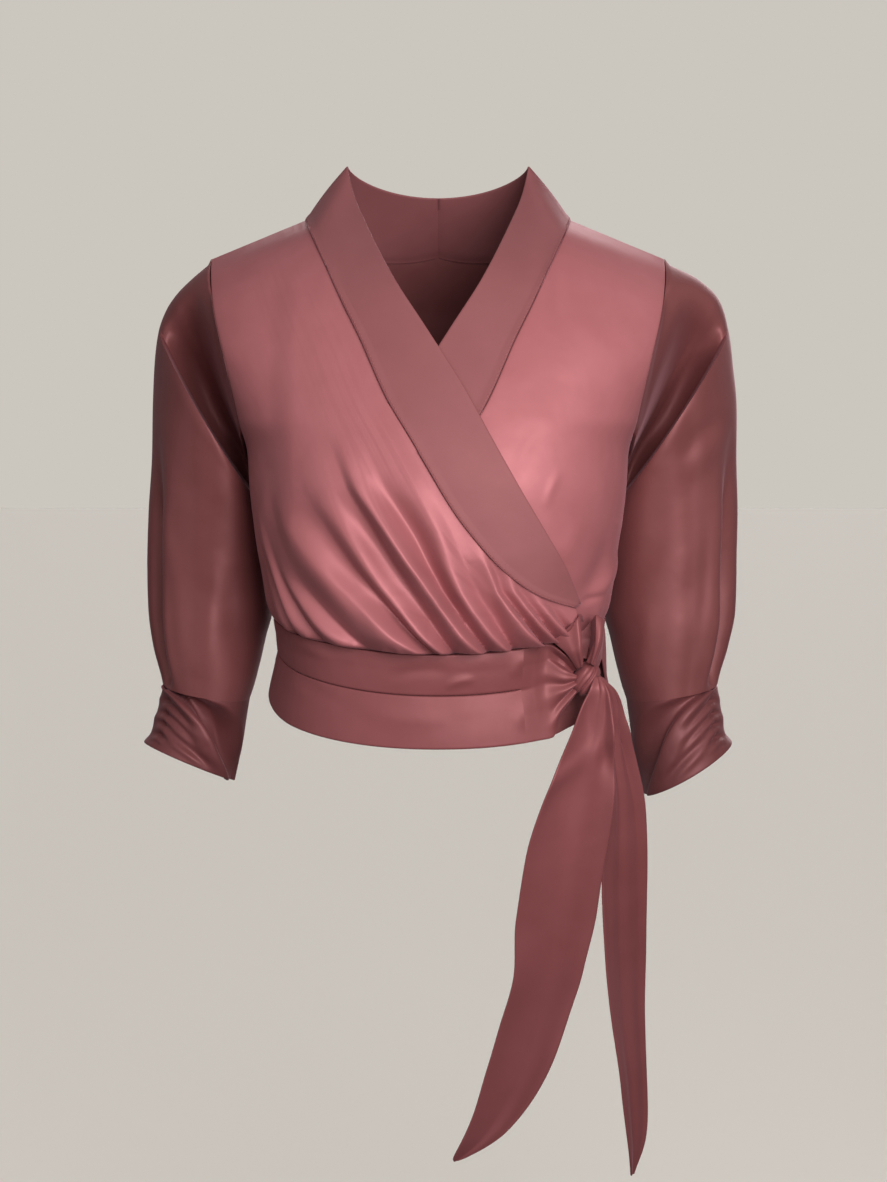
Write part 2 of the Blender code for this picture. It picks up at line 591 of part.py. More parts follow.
def waistband(material, collection):
    degrees = np.linspace(BAND_START, BAND_END, BAND_STEPS)
    lift = band_lift(degrees)
    band_strip("waistband_upper", material, collection, degrees, UPPER_STRIP, lift + BAND_STEP)
    band_strip("waistband_lower", material, collection, degrees, LOWER_STRIP, lift)
    degrees = np.linspace(*UNDERBAND)
    lift = np.full(degrees.shape, UNDERBAND_LIFT)
    band_strip("waistband_under", material, collection, degrees, UNDER_STRIP, lift)


def tube_rings(rows, angle, left):
    """The outer points of a tube through a sleeve table's rings, and their inward ways."""
    table = named(SLEEVE_COLUMNS, rows)
    degrees = np.degrees(angle)
    outer, inward = [], []
    for k in range(len(rows)):
        out = np.array([table["x_out"][k], 0.0, table["z_out"][k]])
        inn = np.array([table["x_in"][k], 0.0, table["z_in"][k]])
        if left:
            out[0] -= table["spread"][k]
        centre, half = (out + inn) / 2, (out - inn) / 2
        centre[1] = table["y_mid"][k]
        reach = np.where(np.sin(angle) > 0, table["front"][k], table["back"][k])
        point = centre + half * np.cos(angle)[:, None]
        point[:, 1] -= reach * np.sin(angle)
        hollow = np.exp(-((degrees - HOLLOW_ANGLE) / HOLLOW_WIDTH) ** 2)
        groove = np.exp(-((degrees - GROOVE_ANGLE) / GROOVE_WIDTH) ** 2)
        point[:, 1] += table["hollow"][k] * hollow
        point += unit(centre - point) * table["groove"][k] * groove[:, None]
        outer.append(point)
        inward.append(unit(centre - point))
    return np.array(outer), np.array(inward)


def clear_of_body(points):
    """The points of a sleeve at -X, with any that lie too near the body moved outwards."""
    x, y, z = points[..., 0], points[..., 1], points[..., 2]
    rise = np.interp(z, BODY["z_side"], BODY["rise"])
    reach = np.zeros(rise.shape)
    for back in (False, True):
        y_side = body_value("y_side_back" if back else "y_side_front", rise)
        y_centre = body_value("y_back" if back else "y_front", rise)
        depth = np.clip((y - y_side) / (y_centre - y_side - 1e-6), 0, 1)
        share = (1 - depth ** (1 / body_value("bow", rise))) ** (1 / SECTION_POWER)
        beside = (y > BAND_Y_SIDE) if back else (y <= BAND_Y_SIDE)
        reach = np.where(beside, share * body_value("x_side", rise), reach)
    moved = points.copy()
    moved[..., 0] = np.minimum(x, -reach - SLEEVE_CLEARANCE)
    return moved


def armhole_angles():
    """Angles round the armhole at which a ring meets the rows of the front and back."""
    middle, span = (1 + UNDERARM_RISE) / 2, (1 - UNDERARM_RISE) / 2
    front = np.arccos(np.clip((np.array(ARMHOLE_ROWS[::-1]) - middle) / span, -1, 1))
    return np.concatenate([front, 2 * np.pi - front[-2:0:-1]])


def sleeve(side, material, cuff_material, collection):
    left = side == "left"
    turn = mirrored if left else np.array
    angle = armhole_angles()
    rise = (1 + UNDERARM_RISE) / 2 + (1 - UNDERARM_RISE) / 2 * np.cos(angle)
    in_front = (np.sin(angle) > 1e-9)[:, None]
    armhole = np.where(in_front, body_point(-1.0, rise, False), body_point(-1.0, rise, True))
    armhole[:, 0] -= ARMHOLE_GAP
    outer, inward = tube_rings(SLEEVE_ROWS, angle, left)
    outer = clear_of_body(outer)
    outer = np.concatenate([armhole[None], outer])
    inward = np.concatenate([unit(armhole.mean(0) - armhole)[None], inward])
    closed_grid("sleeve_" + side, turn(outer), turn(outer + inward * WALL), material,
                collection, ring=True)

    angle = 2 * np.pi * np.arange(CUFF_SIDES) / CUFF_SIDES
    outer, inward = tube_rings(CUFF_ROWS, angle, left)
    down = np.linspace(0.0, 1.0, len(CUFF_ROWS))[:, None]
    if left:
        inner_side = (1 - np.cos(angle)) / 2
        outer[..., 2] -= LEFT_CUFF_DROP * down * inner_side
    towards_outside = np.cos(angle / 2) ** 2
    pleat = np.cos(CUFF_PLEATS * angle)
    pleat *= CUFF_BACK_PLEATS + (1 - CUFF_BACK_PLEATS) * towards_outside
    depth = CUFF_PLEAT_DEPTH * np.sin(np.pi * (0.1 + 0.75 * down))
    outer = outer - inward * (depth * pleat)[..., None]
    closed_grid("cuff_" + side, turn(outer), turn(outer + inward * DOUBLE_WALL),
                cuff_material, collection, ring=True)


def knot(material, collection):
    """The sash knot, a ball with the dent of the cloth that is wound round it."""
    depth, width, slant, shift = KNOT_DENT
    mesh = bpy.data.meshes.new("knot")
    bm = bmesh.new()
    bmesh.ops.create_uvsphere(bm, u_segments=KNOT_SEGMENTS[0], v_segments=KNOT_SEGMENTS[1],
                              radius=1.0)
    for vert in bm.verts:
        x, _, z = vert.co
        dent = 1.0 - depth * math.exp(-((x - slant * z - shift) / width) ** 2)
        vert.co = [(c + r * v * dent) * MM
                   for c, r, v in zip(KNOT_CENTRE, KNOT_RADII, vert.co)]
    bm.to_mesh(mesh)
    bm.free()
    mesh.shade_smooth()
    mesh.materials.append(material)
    obj = bpy.data.objects.new("knot", mesh)
    collection.objects.link(obj)


def off_knot(points, gap):
    """The points, with any that lie too near the knot moved out from its centre."""
    from_centre = points - np.array(KNOT_CENTRE)
    level = np.linalg.norm(from_centre / (np.array(KNOT_RADII) + gap), axis=-1, keepdims=True)
    return np.array(KNOT_CENTRE) + from_centre / np.minimum(level, 1.0)


def off_waist(points, gap):
    """The points, with any that lie too near the waist moved out from its axis."""
    heights = np.concatenate([BAND["z_side"][:0:-1], BODY["z_side"][:5]])
    x_reach = np.concatenate([BAND["x_side"][:0:-1], BODY["x_side"][:5]])
    y_front = np.concatenate([BAND["y_front"][:0:-1], BODY["y_front"][:5]])
    x_reach = np.interp(points[..., 2], heights, x_reach) + gap
    y_reach = np.interp(points[..., 2], heights, BAND_Y_SIDE - y_front) + gap
    from_axis = (points - np.array([0.0, BAND_Y_SIDE, 0.0])) * np.array([1.0, 1.0, 0.0])
    level = (np.abs(from_axis[..., 0] / x_reach) ** SECTION_POWER
             + np.abs(from_axis[..., 1] / y_reach) ** (1 / BODY["bow"][0]))
    scale = np.minimum(level, 1.0) ** (-1 / SECTION_POWER)
    return points + from_axis * (scale - 1)[..., None]


def tie(name, rows, material, collection, steps):
    """A hanging tie: a strip along a line of stations, with its section turned and cupped."""
    table = named(TIE_COLUMNS, rows)
    at = np.linspace(0, len(rows) - 1, steps)
    value = {c: spline(np.arange(len(rows)), table[c], at) for c in TIE_COLUMNS}
    turn = np.radians(value["turn"])
    wide = np.stack([np.cos(turn), np.sin(turn), 0 * turn], -1)
    centre = np.stack([value["x"], value["y"], value["z"]], -1)
    down = unit(np.gradient(centre, axis=0))
    front = unit(np.cross(wide, down))[:, None]
    across = np.linspace(-1, 1, TIE_POINTS_ACROSS)[None, :]
    outer = (centre[:, None] + wide[:, None] * (across * value["half_width"][:, None])[..., None]
             + front * ((0.5 - across**2) * value["cup"][:, None])[..., None])
    outer[..., 2] += across * value["shear"][:, None]
    inner = off_knot(outer - front * DOUBLE_WALL, KNOT_GAP)
    outer = off_knot(outer, KNOT_GAP + DOUBLE_WALL)
    closed_grid(name, outer, inner, material, collection)


def fan(name, rows, start, pleats, points_across, material, collection):
    """A sash end from the waistband at an angle in degrees, gathered into the knot."""
    table = named(FAN_COLUMNS, rows)
    height = np.linspace(0, 1, points_across)
    value = {c: spline(table["height"], table[c], height) for c in FAN_COLUMNS}
    degrees = np.array([start])
    band_top, out = waist_line(degrees, UPPER_STRIP[0])
    band_bottom, _ = waist_line(degrees, LOWER_STRIP[-1])
    band_waist, _ = waist_line(degrees, LOWER_STRIP[0])
    along_band = np.concatenate([band_bottom, band_waist, band_top])
    first = np.stack([spline((0, 0.5, 1), along_band[:, axis], height) for axis in range(3)], -1)
    first += out * (BAND_LIFT + WRAP_LIFT + BAND_STEP)
    middle = np.stack([value["x"], value["y"], value["z"]], -1)
    azimuth, elevation = np.radians(value["azimuth"]), np.radians(value["elevation"])
    way = np.stack([np.sin(azimuth) * np.cos(elevation), -np.cos(azimuth) * np.cos(elevation),
                    np.sin(elevation)], -1)
    last = np.array(KNOT_CENTRE) + way * (np.array(KNOT_RADII) + KNOT_GAP + DOUBLE_WALL)
    pull = 2 * middle - (first + last) / 2
    u = np.linspace(0, 1, FAN_STEPS)[:, None, None]
    sheet = (1 - u) ** 2 * first + 2 * u * (1 - u) * pull + u**2 * last
    normal = unit(np.cross(np.gradient(sheet, axis=0), np.gradient(sheet, axis=1)))
    outwards = np.sum(normal * (sheet * np.array([1.0, 1.0, 0.0])), -1).mean()
    normal *= np.sign(outwards)
    wave = np.cos(2 * np.pi * pleats * height)[None, :, None]
    sheet = sheet + normal * wave * FAN_PLEAT_DEPTH * np.sin(np.pi * u)
    lift = BAND_LIFT + FAN_LIFT * smoothstep(0.0, 0.12, u[..., 0])
    inner = off_knot(off_waist(sheet - normal * DOUBLE_WALL, lift), KNOT_GAP)
    outer = off_knot(off_waist(sheet, lift + DOUBLE_WALL), KNOT_GAP + DOUBLE_WALL)
    closed_grid(name, outer, inner, material, collection)


def build():
    clear_scene()
    collection = bpy.data.collections.new("wrap crop top")
    bpy.context.scene.collection.children.link(collection)

    def satin(name):
        return satin_material(name + " satin", SATIN)

    right_rows = np.array(RIGHT_ROWS + ARMHOLE_ROWS)
    plain_rows = np.array(PLAIN_ROWS + ARMHOLE_ROWS)
    front_panel("front_right", satin("front"), collection, True, right_rows)
    front_panel("front_left", satin("front left"), collection, False, plain_rows)
    back_panel(satin("back"), collection, plain_rows)
    for side, over, rows in (("right", True, right_rows), ("left", False, plain_rows)):
        collar_satin = satin_material("collar satin " + side, COLLAR_SATIN)
        collar_half("collar_" + side, collar_satin, collection, over, rows)
        sleeve(side, satin("sleeve " + side), satin("cuff " + side), collection)
    waistband(satin("waistband"), collection)
    knot(satin("knot"), collection)
    fan("fan_front", FRONT_FAN_ROWS, BAND_END + FAN_GAP, FRONT_FAN_PLEATS, FRONT_FAN_POINTS,
        satin("front sash end"), collection)
    fan("fan_back", BACK_FAN_ROWS, BAND_START + 360.0 - FAN_GAP, BACK_FAN_PLEATS,
        BACK_FAN_POINTS, satin("back sash end"), collection)
    tie("tie_front", FRONT_TIE_ROWS, satin("front tie"), collection, 22)
    tie("tie_back", BACK_TIE_ROWS, satin("back tie"), collection, 18)


build()
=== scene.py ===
"""The looks of a satin wrap crop top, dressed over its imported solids.

Every piece is a thin shell of cloth on its solid's form, with finer folds, rolled edges,
stitches and woven satin. -Y is the front, +Z is up, and the sash is tied at +X. Tables and
sizes are in millimetres, and MM turns them into metres.
"""

import math

import bpy
import numpy as np
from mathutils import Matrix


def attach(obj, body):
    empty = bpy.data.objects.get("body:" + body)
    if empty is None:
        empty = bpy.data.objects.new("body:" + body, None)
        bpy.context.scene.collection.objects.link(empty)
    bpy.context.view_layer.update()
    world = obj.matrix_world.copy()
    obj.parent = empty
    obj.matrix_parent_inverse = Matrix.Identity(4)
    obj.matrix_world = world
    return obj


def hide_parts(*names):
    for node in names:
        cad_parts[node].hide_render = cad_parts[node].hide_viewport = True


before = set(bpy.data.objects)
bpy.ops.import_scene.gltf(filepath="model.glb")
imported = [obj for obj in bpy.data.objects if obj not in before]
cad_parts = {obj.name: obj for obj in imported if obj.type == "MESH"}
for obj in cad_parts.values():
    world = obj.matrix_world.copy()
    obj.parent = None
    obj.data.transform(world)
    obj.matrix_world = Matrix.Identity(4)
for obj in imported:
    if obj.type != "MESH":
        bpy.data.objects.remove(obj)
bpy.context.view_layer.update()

MM = 0.001

# Driving sizes
SEAM_GAP = 0.3           # distance between two pieces at a seam
WRAP_LIFT = 2.6          # how far the right front lies above the left front
NECK_X = 115.0           # where the collar crosses the shoulder
SHOULDER_X = 197.0       # end of the shoulder seam
UNDERARM_RISE = 0.48     # the row of the body table that meets the underarm
WAIST_FRONT_DIP = 21.0   # how far the waist seam drops from side to centre front
WAIST_DIP_POWER = 1.6    # how fast it drops away from the side
SECTION_POWER = 2.3      # the body's sections are a little squarer than an ellipse
EDGE_RISE = 0.095        # the row where the collar ends
NECK_DROP = 0.115        # how far the back's neck edge lies below the shoulder seam
NORMAL_STEP = 1e-3       # share and rise between the points that give a direction
WRAP_X = (-141, -116)    # where the right front starts to lie on the left one

# The body, from the waist seam up to the shoulder seam. "side" is the side seam, and
# above the underarm it is the armhole. "bow" shapes a section: low is round at the side.
BODY_COLUMNS = ("rise", "z_side", "x_side", "y_side_front", "y_front",
                "y_side_back", "y_back", "bow", "slope")
BODY_ROWS = (
    (0, -344, 142, 4, -104, 4, 92, 0.44, 0),
    (0.012, -341, 144.5, 4, -111.5, 4, 95.5, 0.44, 0),
    (0.05, -331, 148.5, 4, -117, 4, 98.5, 0.44, 0),
    (0.13, -308, 152.5, 4, -122, 4, 100, 0.44, 0),
    (0.25, -270, 158.5, 4, -128.5, 4, 102, 0.42, 0),
    (0.39, -230, 163, 4, -130, 4, 104, 0.39, 0),
    (0.48, -205, 164.5, 4, -127, 4, 106, 0.39, 0),
    (0.6, -174, 169, -45, -119, 58, 107, 0.6, 0.03),
    (0.75, -124, 179, -60, -102, 74, 102, 0.78, 0.13),
    (0.88, -80, 190, -46, -80, 58, 84, 0.85, 0.27),
    (0.96, -48, 195.5, -20, -46, 26, 52, 0.9, 0.37),
    (1, -34, 197, 0, 0, 0, 0, 0.95, 0.415),
)

# The edge of the right front, where the collar is sewn on, and the collar's free edge,
# as they show from the front. Both run from the neck to the left side of the waist.
FRONT_EDGE_COLUMNS = ("x_seam", "z_seam", "x_free", "z_free")
FRONT_EDGE_ROWS = (
    (-115, 0, -79, 47),
    (-102, -29, -72, 20),
    (-91, -52, -59, -11),
    (-77, -81, -36, -57),
    (-64, -107, -10, -98),
    (-41, -158, 22, -149),
    (-22, -190, 44, -190),
    (19, -257, 67, -231),
    (54, -297, 87, -265),
    (82, -317, 105, -297),
    (112, -328.4, 117, -325.6),
)
COLLAR_NECK_HUG = (0, -14, -42, -70)  # y of the free edge beside the neck
COLLAR_LIFT = 0.4        # the collar is thicker than the front that it is sewn to
UNDER_COLLAR_LIFT = 0.2
COLLAR_CROWN = 1.4       # how far the standing collar bows out between its edges
COLLAR_TIP = (79, 47)    # x and z of the free edge above the shoulder
COLLAR_BACK = (50, 25)   # y and z of the free edge at the centre back

# Gathers above the left front's waist seam. Each row is one fold: its place along the seam,
# its place where it fades out, how high it climbs, its half width and its height.
LEFT_GATHERS = (
    (0.11, 0.13, 0.2, 0.035, 2),
    (0.19, 0.2, 0.3, 0.03, 2.5),
)
LEFT_GATHER_X = (110, 124)   # the left front is smooth under the right front
GATHER_SPREAD = 1.1          # a fold is this much wider where it fades out
GATHER_START = 0.2           # a fold leaves the seam at this share of its half turn

# The waistband: two strips sewn together. z gives the heights at the side, and dip how
# much lower the same line runs at the centre front.
BAND_COLUMNS = ("z_side", "dip", "dip_power", "x_side", "y_front", "y_back")
BAND_ROWS = (
    (-344.45, WAIST_FRONT_DIP, WAIST_DIP_POWER, 142, -104, 92),
    (-357, 23, 1.4, 139, -103, 90.5),
    (-371, 28, 1.2, 138.5, -103, 90.5),
    (-389, 31, 1, 141.5, -105.5, 93),
    (-409, 33, 0.9, 147, -109, 96),
)
UPPER_STRIP = (0, 1, 2)
LOWER_STRIP = (2, 3, 4)
UNDER_STRIP = (0, 2, 3, 4)
BAND_Y_SIDE = 4.0            # y of the side seams at the waist
BAND_LIFT = 0.4              # the band's lift above the body form round the back
BAND_STEP = 0.6              # the upper strip lies a little proud of the lower one
BAND_START = -280.0          # degrees from the centre front, going round the back
BAND_CROWN = 0.9             # how far a strip bows out between its seams
UNDERBAND_LIFT = -1.3        # the underband's lift above the body form
UNDERBAND = (-50, 89)        # degrees round the waist where it starts and ends
UNDERBAND_SUNK = 6.0         # how far it falls back beside the knot,
UNDERBAND_SINKS = (38, 52)   # between these degrees

# A sleeve at -X, from the armhole to the pinch above the cuff. Each ring runs from an
# outer point to an inner point in the front view. The front and back columns are its
# reach in Y, and "hollow" how far its front falls back into the fold at the armhole.
# "spread" is how much further out the sleeve at +X hangs.
SLEEVE_COLUMNS = ("x_out", "z_out", "x_in", "z_in", "y_mid", "front", "back",
                  "hollow", "groove", "spread")
SLEEVE_ROWS = (
    (-200, -39, -164.5, -211, 6, 62, 66, 12, 0, 2),
    (-215, -51, -164, -217, 10, 62, 66, 50, 0, 12),
    (-229, -64, -163, -224, 16, 62, 66, 76, 0, 14),
    (-239.5, -78, -161.5, -233, 24, 62, 66, 78, 0, 12),
    (-246, -95, -159, -243, 28, 68, 66, 8, 0, 10),
    (-250, -120, -156, -253, 32, 67, 65, 0, 0, 10),
    (-252.5, -160, -152, -270, 36, 65, 64, 0, 0, 12),
    (-254, -207, -150, -292, 40, 62, 62, 0, 3, 11),
    (-257.5, -257, -150, -316, 42, 59, 60, 0, 8, 9),
    (-258.7, -302, -147.5, -342, 42, 56, 58, 0, 12, 7),
    (-257.5, -340, -153, -366, 40, 54, 55, 0, 13, 7),
    (-253, -372, -158.5, -391, 37, 50, 51, 0, 11, 5),
    (-246, -397, -164, -412, 34, 45, 46, 0, 5, 4),
    (-243, -408, -167, -421, 32, 42, 43, 0, 0, 4),
)
CUFF_ROWS = (
    (-243, -408.05, -167, -421.05, 32, 42, 43, 0, 0, 4),
    (-246, -422, -170, -440, 31, 43, 44, 0, 0, 3),
    (-249, -435, -172.5, -458, 29, 44, 44.5, 0, 0, 2),
    (-253, -449, -176, -476, 27, 44.5, 45, 0, 0, 0),
    (-256.5, -459, -179.5, -492, 24, 44, 45, 0, 0, 0),
)
ARMHOLE_GAP = 0.5        # between the sleeve's first ring and the armhole
SLEEVE_CLEARANCE = 0.4   # between the sleeve and the side of the body
GROOVE_ANGLE = 34.0      # degrees round the sleeve from its outer side to the front
GROOVE_WIDTH = 11.0
GROOVE_DEEPER = 1.7      # the cloth's groove is this much deeper than the form's
HOLLOW_ANGLE = 108.0     # degrees round the sleeve to the middle of its front hollow
HOLLOW_WIDTH = 60.0
SLEEVE_POINTS = 200      # points round a sleeve, and round a cuff
CUFF_POINTS = 160
LEFT_CUFF_DROP = 12.0    # the inner side of the cuff at +X hangs this much lower

# The hanging ends of the sash, from the knot down
TIE_COLUMNS = ("x", "y", "z", "half_width", "turn", "cup", "shear")
FRONT_TIE_ROWS = (
    (131.5, -88, -386, 3, 4, 1, 0),
    (132, -93, -396, 8, 4, 3, 0),
    (130, -94, -408, 12.5, 4, 6, 0),
    (126.5, -94, -432, 18.5, 4, 7, 0),
    (121.5, -93, -457, 24, 5, 8, 0),
    (115.5, -92, -484, 30, 5, 8, 0),
    (105, -90, -532, 34.5, 7, 6, 0),
    (97.5, -87, -582, 34.5, 8, 4, 2),
    (91, -84, -631, 30, 8, 4, 3),
    (80, -81, -670, 29.5, 8, 4, 3),
    (69, -79, -706, 29, 8, 4, 4),
    (53.5, -77, -744, 25, 8, 3, 4),
    (35, -76, -772, 18, 8, 2, 3),
    (20, -75, -786, 8, 8, 1, 1),
    (14.5, -74.5, -790, 2, 8, 0.5, 0),
)
BACK_TIE_ROWS = (
    (134, -82, -388, 3, 40, 1, 0),
    (142, -79, -400, 8, 44, 3, 0),
    (146, -75, -416, 11, 46, 5, 0),
    (148.5, -72, -438, 14.5, 46, 7, 0),
    (150.5, -70, -462, 19, 44, 8, 0),
    (154, -68, -500, 23, 42, 7, 0),
    (154.5, -66, -560, 26, 40, 5, 0),
    (156, -64, -620, 26, 42, 5, 0),
    (158, -62, -675, 24, 46, 5, 0),
    (162, -60, -730, 20, 50, 4, 0),
    (165, -59, -780, 13.5, 52, 3, 0),
    (162.5, -58, -808, 3, 54, 1, 0),
)
BAND_END_GAP = 0.4       # degrees from the band's end to the back sash end

# Cloth
CLOTH = 0.8              # one layer of satin
FOLDED_CLOTH = 1.9       # collar, waistband, cuffs and ties, which are folded double
SASH_END_CLOTH = 1.4     # the back sash end, where it is drawn thin
CLOSE_STATIONS = (0, 0.15, 0.4, 0.8, 1.4, 2.2)  # distances of the points beside an edge
# The points across or along a piece, and its length, as graded() takes them
FRONT_OVER_ACROSS, FRONT_UNDER_ACROSS, BACK_ACROSS = (244, 290.0), (118, 290.0), (176, 420.0)
COLLAR_ACROSS, CUFF_DOWN = (26, 62.0), (48, 60.0)
STRIP_DOWN, UNDERBAND_DOWN = (14, 34.0), (18, 66.0)
FRONT_END_ALONG, FRONT_END_UP = (70, 60.0), (60, 77.0)
BACK_END_ALONG, BACK_END_UP = (84, 110.0), (110, 80.0)
TIE_DOWN, TIE_ACROSS = (150, 380.0), (34, 60.0)
# The rows of points up a panel: close together below FINE_RISE, and closer at the waist seam
FINE_RISE = 0.3
FRONT_ROWS, BACK_ROWS, TOP_ROWS = 84, 50, 66
SEAM_RISES = (0.0, 0.0006, 0.0016, 0.003, 0.007)
BAND_POINTS, UNDERBAND_POINTS = 330, 90  # points round the waistband and the underband
EDGE_ROLL = 0.42         # how far each side of an edge turns in, as a share of the cloth
EDGE_WIDTH = 1.4         # the width over which it turns in
SHARP_ANGLE = 75.0       # degrees between faces from which an edge shades sharp

FOLD_DEPTH = 1.34        # the right front's gathers are scaled by this
# Gathers of the right front, from the waist seam up. Crests and valleys follow each other.
# The first columns are their places across the panel in thousandths, at the rises in
# FOLD_RISES. The last two are how high they climb and their height.
FOLD_RISES = (0, 0.05, 0.1, 0.16, 0.22, 0.3, 0.4)
FOLD_LINES = (
    (180, 180, 170, 160, 150, 150, 150, 0.22, 0),
    (235, 225, 200, 180, 165, 160, 160, 0.24, 2.6),
    (262, 255, 235, 212, 195, 190, 190, 0.26, -0.6),
    (305, 292, 272, 250, 235, 225, 215, 0.36, 4.2),
    (360, 338, 300, 282, 270, 262, 255, 0.26, -0.8),
    (419, 395, 345, 315, 300, 290, 285, 0.2, 5.5),
    (478, 452, 405, 372, 350, 330, 320, 0.24, -1.4),
    (597, 570, 545, 520, 475, 415, 370, 0.4, 10),
    (629, 606, 592, 595, 585, 560, 515, 0.44, -1.8),
    (648, 625, 622, 638, 646, 638, 612, 0.48, 9),
    (673, 650, 662, 698, 716, 718, 700, 0.52, -2),
    (726, 704, 718, 752, 772, 768, 745, 0.6, 12),
    (752, 728, 742, 778, 812, 835, 838, 0.56, -2.2),
    (786, 762, 776, 822, 862, 905, 925, 0.46, 9.5),
    (812, 790, 805, 866, 915, 955, 985, 0.34, -1.6),
    (870, 846, 850, 912, 968, 1010, 1040, 0.3, 11),
    (890, 866, 868, 930, 990, 1035, 1065, 0.26, -2),
    (914, 890, 893, 958, 1020, 1065, 1100, 0.24, 9),
    (932, 908, 912, 978, 1040, 1085, 1120, 0.2, -2),
    (956, 938, 940, 1005, 1065, 1110, 1150, 0.18, 8),
    (978, 968, 972, 1030, 1090, 1140, 1180, 0.14, -1.5),
    (1000, 995, 1000, 1060, 1120, 1170, 1210, 0.12, 5),
)
# Short puckers at the seam: place along it, half width and height
SEAM_PUCKERS = (
    (0.318, 0.01, 1.2), (0.372, 0.008, 1), (0.448, 0.009, 1.4), (0.52, 0.01, 1.8),
    (0.556, 0.008, 2), (0.69, 0.007, 1.8), (0.706, 0.006, 1.6), (0.766, 0.007, 2.2),
    (0.785, 0.006, 1.4), (0.824, 0.009, 2.2), (0.842, 0.006, 1.6), (0.898, 0.006, 1.8),
)
PUCKER_REACH = 0.045     # the rise where they have died out
STRAIGHT_RISE = 0.16     # below this rise the folds run straight to the seam
SEAM_ROUND = 0.012       # the rise over which a fold's end rounds down into the seam
SEAM_SWELL = 0.06        # the rise where it has its full height
SEAM_TUCK = (0.32, 0.56, 0.12)  # shares of its height at the seam, and gained over each rise
VALLEY_PINCH = 0.60      # how narrow the valleys between the folds are


def named(columns, rows):
    """A table as a dict of arrays, one for each column."""
    return dict(zip(columns, np.array(rows, float).T))


def spline(stations, values, at):
    """A smooth curve through values, or rows of values, that never swings past them."""
    stations = np.asarray(stations, float)
    values = np.asarray(values, float)
    at = np.clip(np.asarray(at, float), stations[0], stations[-1])
    more = (1,) * (values.ndim - 1)
    rates = np.diff(values, axis=0) / np.diff(stations).reshape((-1,) + more)
    product = rates[:-1] * rates[1:]
    total = np.where(product > 0, rates[:-1] + rates[1:], 1.0)
    inner = np.where(product > 0, 2 * product / total, 0.0)
    slopes = np.concatenate([rates[:1], inner, rates[-1:]])
    k = np.clip(np.searchsorted(stations, at, side="right") - 1, 0, len(stations) - 2)
    width = (stations[k + 1] - stations[k]).reshape(at.shape + more)
    f = (at - stations[k]).reshape(at.shape + more) / width
    return ((2 * f**3 - 3 * f**2 + 1) * values[k]
            + (f**3 - 2 * f**2 + f) * width * slopes[k]
            + (3 * f**2 - 2 * f**3) * values[k + 1]
            + (f**3 - f**2) * width * slopes[k + 1])


def straight(stations, values, at):
    """Straight stretches between rows of values at stations."""
    k = np.clip(np.searchsorted(stations, at, side="right") - 1, 0, len(stations) - 2)
    f = (at - stations[k]) / (stations[k + 1] - stations[k])
    f = f.reshape((-1,) + (1,) * (values.ndim - 1))
    return values[k] * (1 - f) + values[k + 1] * f


def smoothstep(low, high, value):
    """A soft step from 0 at low to 1 at high."""
    f = np.clip((np.asarray(value, float) - low) / (high - low), 0.0, 1.0)
    return f * f * (3 - 2 * f)


def hill(distance, width):
    """A soft hill, 1 high where the distance is 0."""
    return np.exp(-(distance / width) ** 2)


def unit(vectors):
    """Vectors scaled to length 1."""
    return vectors / np.linalg.norm(vectors, axis=-1, keepdims=True)


BODY = named(BODY_COLUMNS, BODY_ROWS)
BAND = named(BAND_COLUMNS, BAND_ROWS)
FRONT_EDGE = named(FRONT_EDGE_COLUMNS, FRONT_EDGE_ROWS)


def body_value(column, rise):
    """A column of the body's table at a rise."""
    return spline(BODY["rise"], BODY[column], rise)


def front_edge(column, station):
    """A column of the front edge's table at a station, counted in its rows."""
    return spline(np.arange(len(FRONT_EDGE_ROWS)), FRONT_EDGE[column], station)


def body_point(share, rise, back):
    """A point of the bare body form. share runs from -1 at one side to 1 at the other."""
    share, rise = np.broadcast_arrays(np.asarray(share, float), np.asarray(rise, float))
    x_side = body_value("x_side", rise)
    y_side = body_value("y_side_back" if back else "y_side_front", rise)
    y_centre = body_value("y_back" if back else "y_front", rise)
    bulge = np.clip(1 - np.abs(share) ** SECTION_POWER, 0, 1) ** body_value("bow", rise)
    x = share * x_side
    y = y_side + (y_centre - y_side) * bulge
    z = body_value("z_side", rise) + body_value("slope", rise) * (x_side - np.abs(x))
    if not back:
        towards_centre = np.sqrt(np.clip(1 - share**2, 0, 1)) ** WAIST_DIP_POWER
        z = z - WAIST_FRONT_DIP * towards_centre * (1 - smoothstep(0.0, 0.5, rise))
    return np.stack([x, y, z], -1)


def body_normal(share, rise, back):
    """The outward direction of the body form, level with the next piece's at a seam."""
    share, rise = np.broadcast_arrays(np.asarray(share, float), np.asarray(rise, float))
    s = np.clip(share, -1 + 2 * NORMAL_STEP, 1 - 2 * NORMAL_STEP)
    r = np.clip(rise, NORMAL_STEP, 1 - NORMAL_STEP)
    along = body_point(s + NORMAL_STEP, r, back) - body_point(s - NORMAL_STEP, r, back)
    up = body_point(s, r + NORMAL_STEP, back) - body_point(s, r - NORMAL_STEP, back)
    normal = unit(np.cross(along, up) * (-1 if back else 1))
    at_side = smoothstep(0.97, 1.0, np.abs(share)) * (rise <= UNDERARM_RISE)
    at_shoulder = smoothstep(0.985, 1.0, rise)
    normal[..., 1] *= 1 - np.maximum(at_side, at_shoulder)
    normal[..., 2] *= smoothstep(0.0, 0.1, rise)
    return unit(normal)


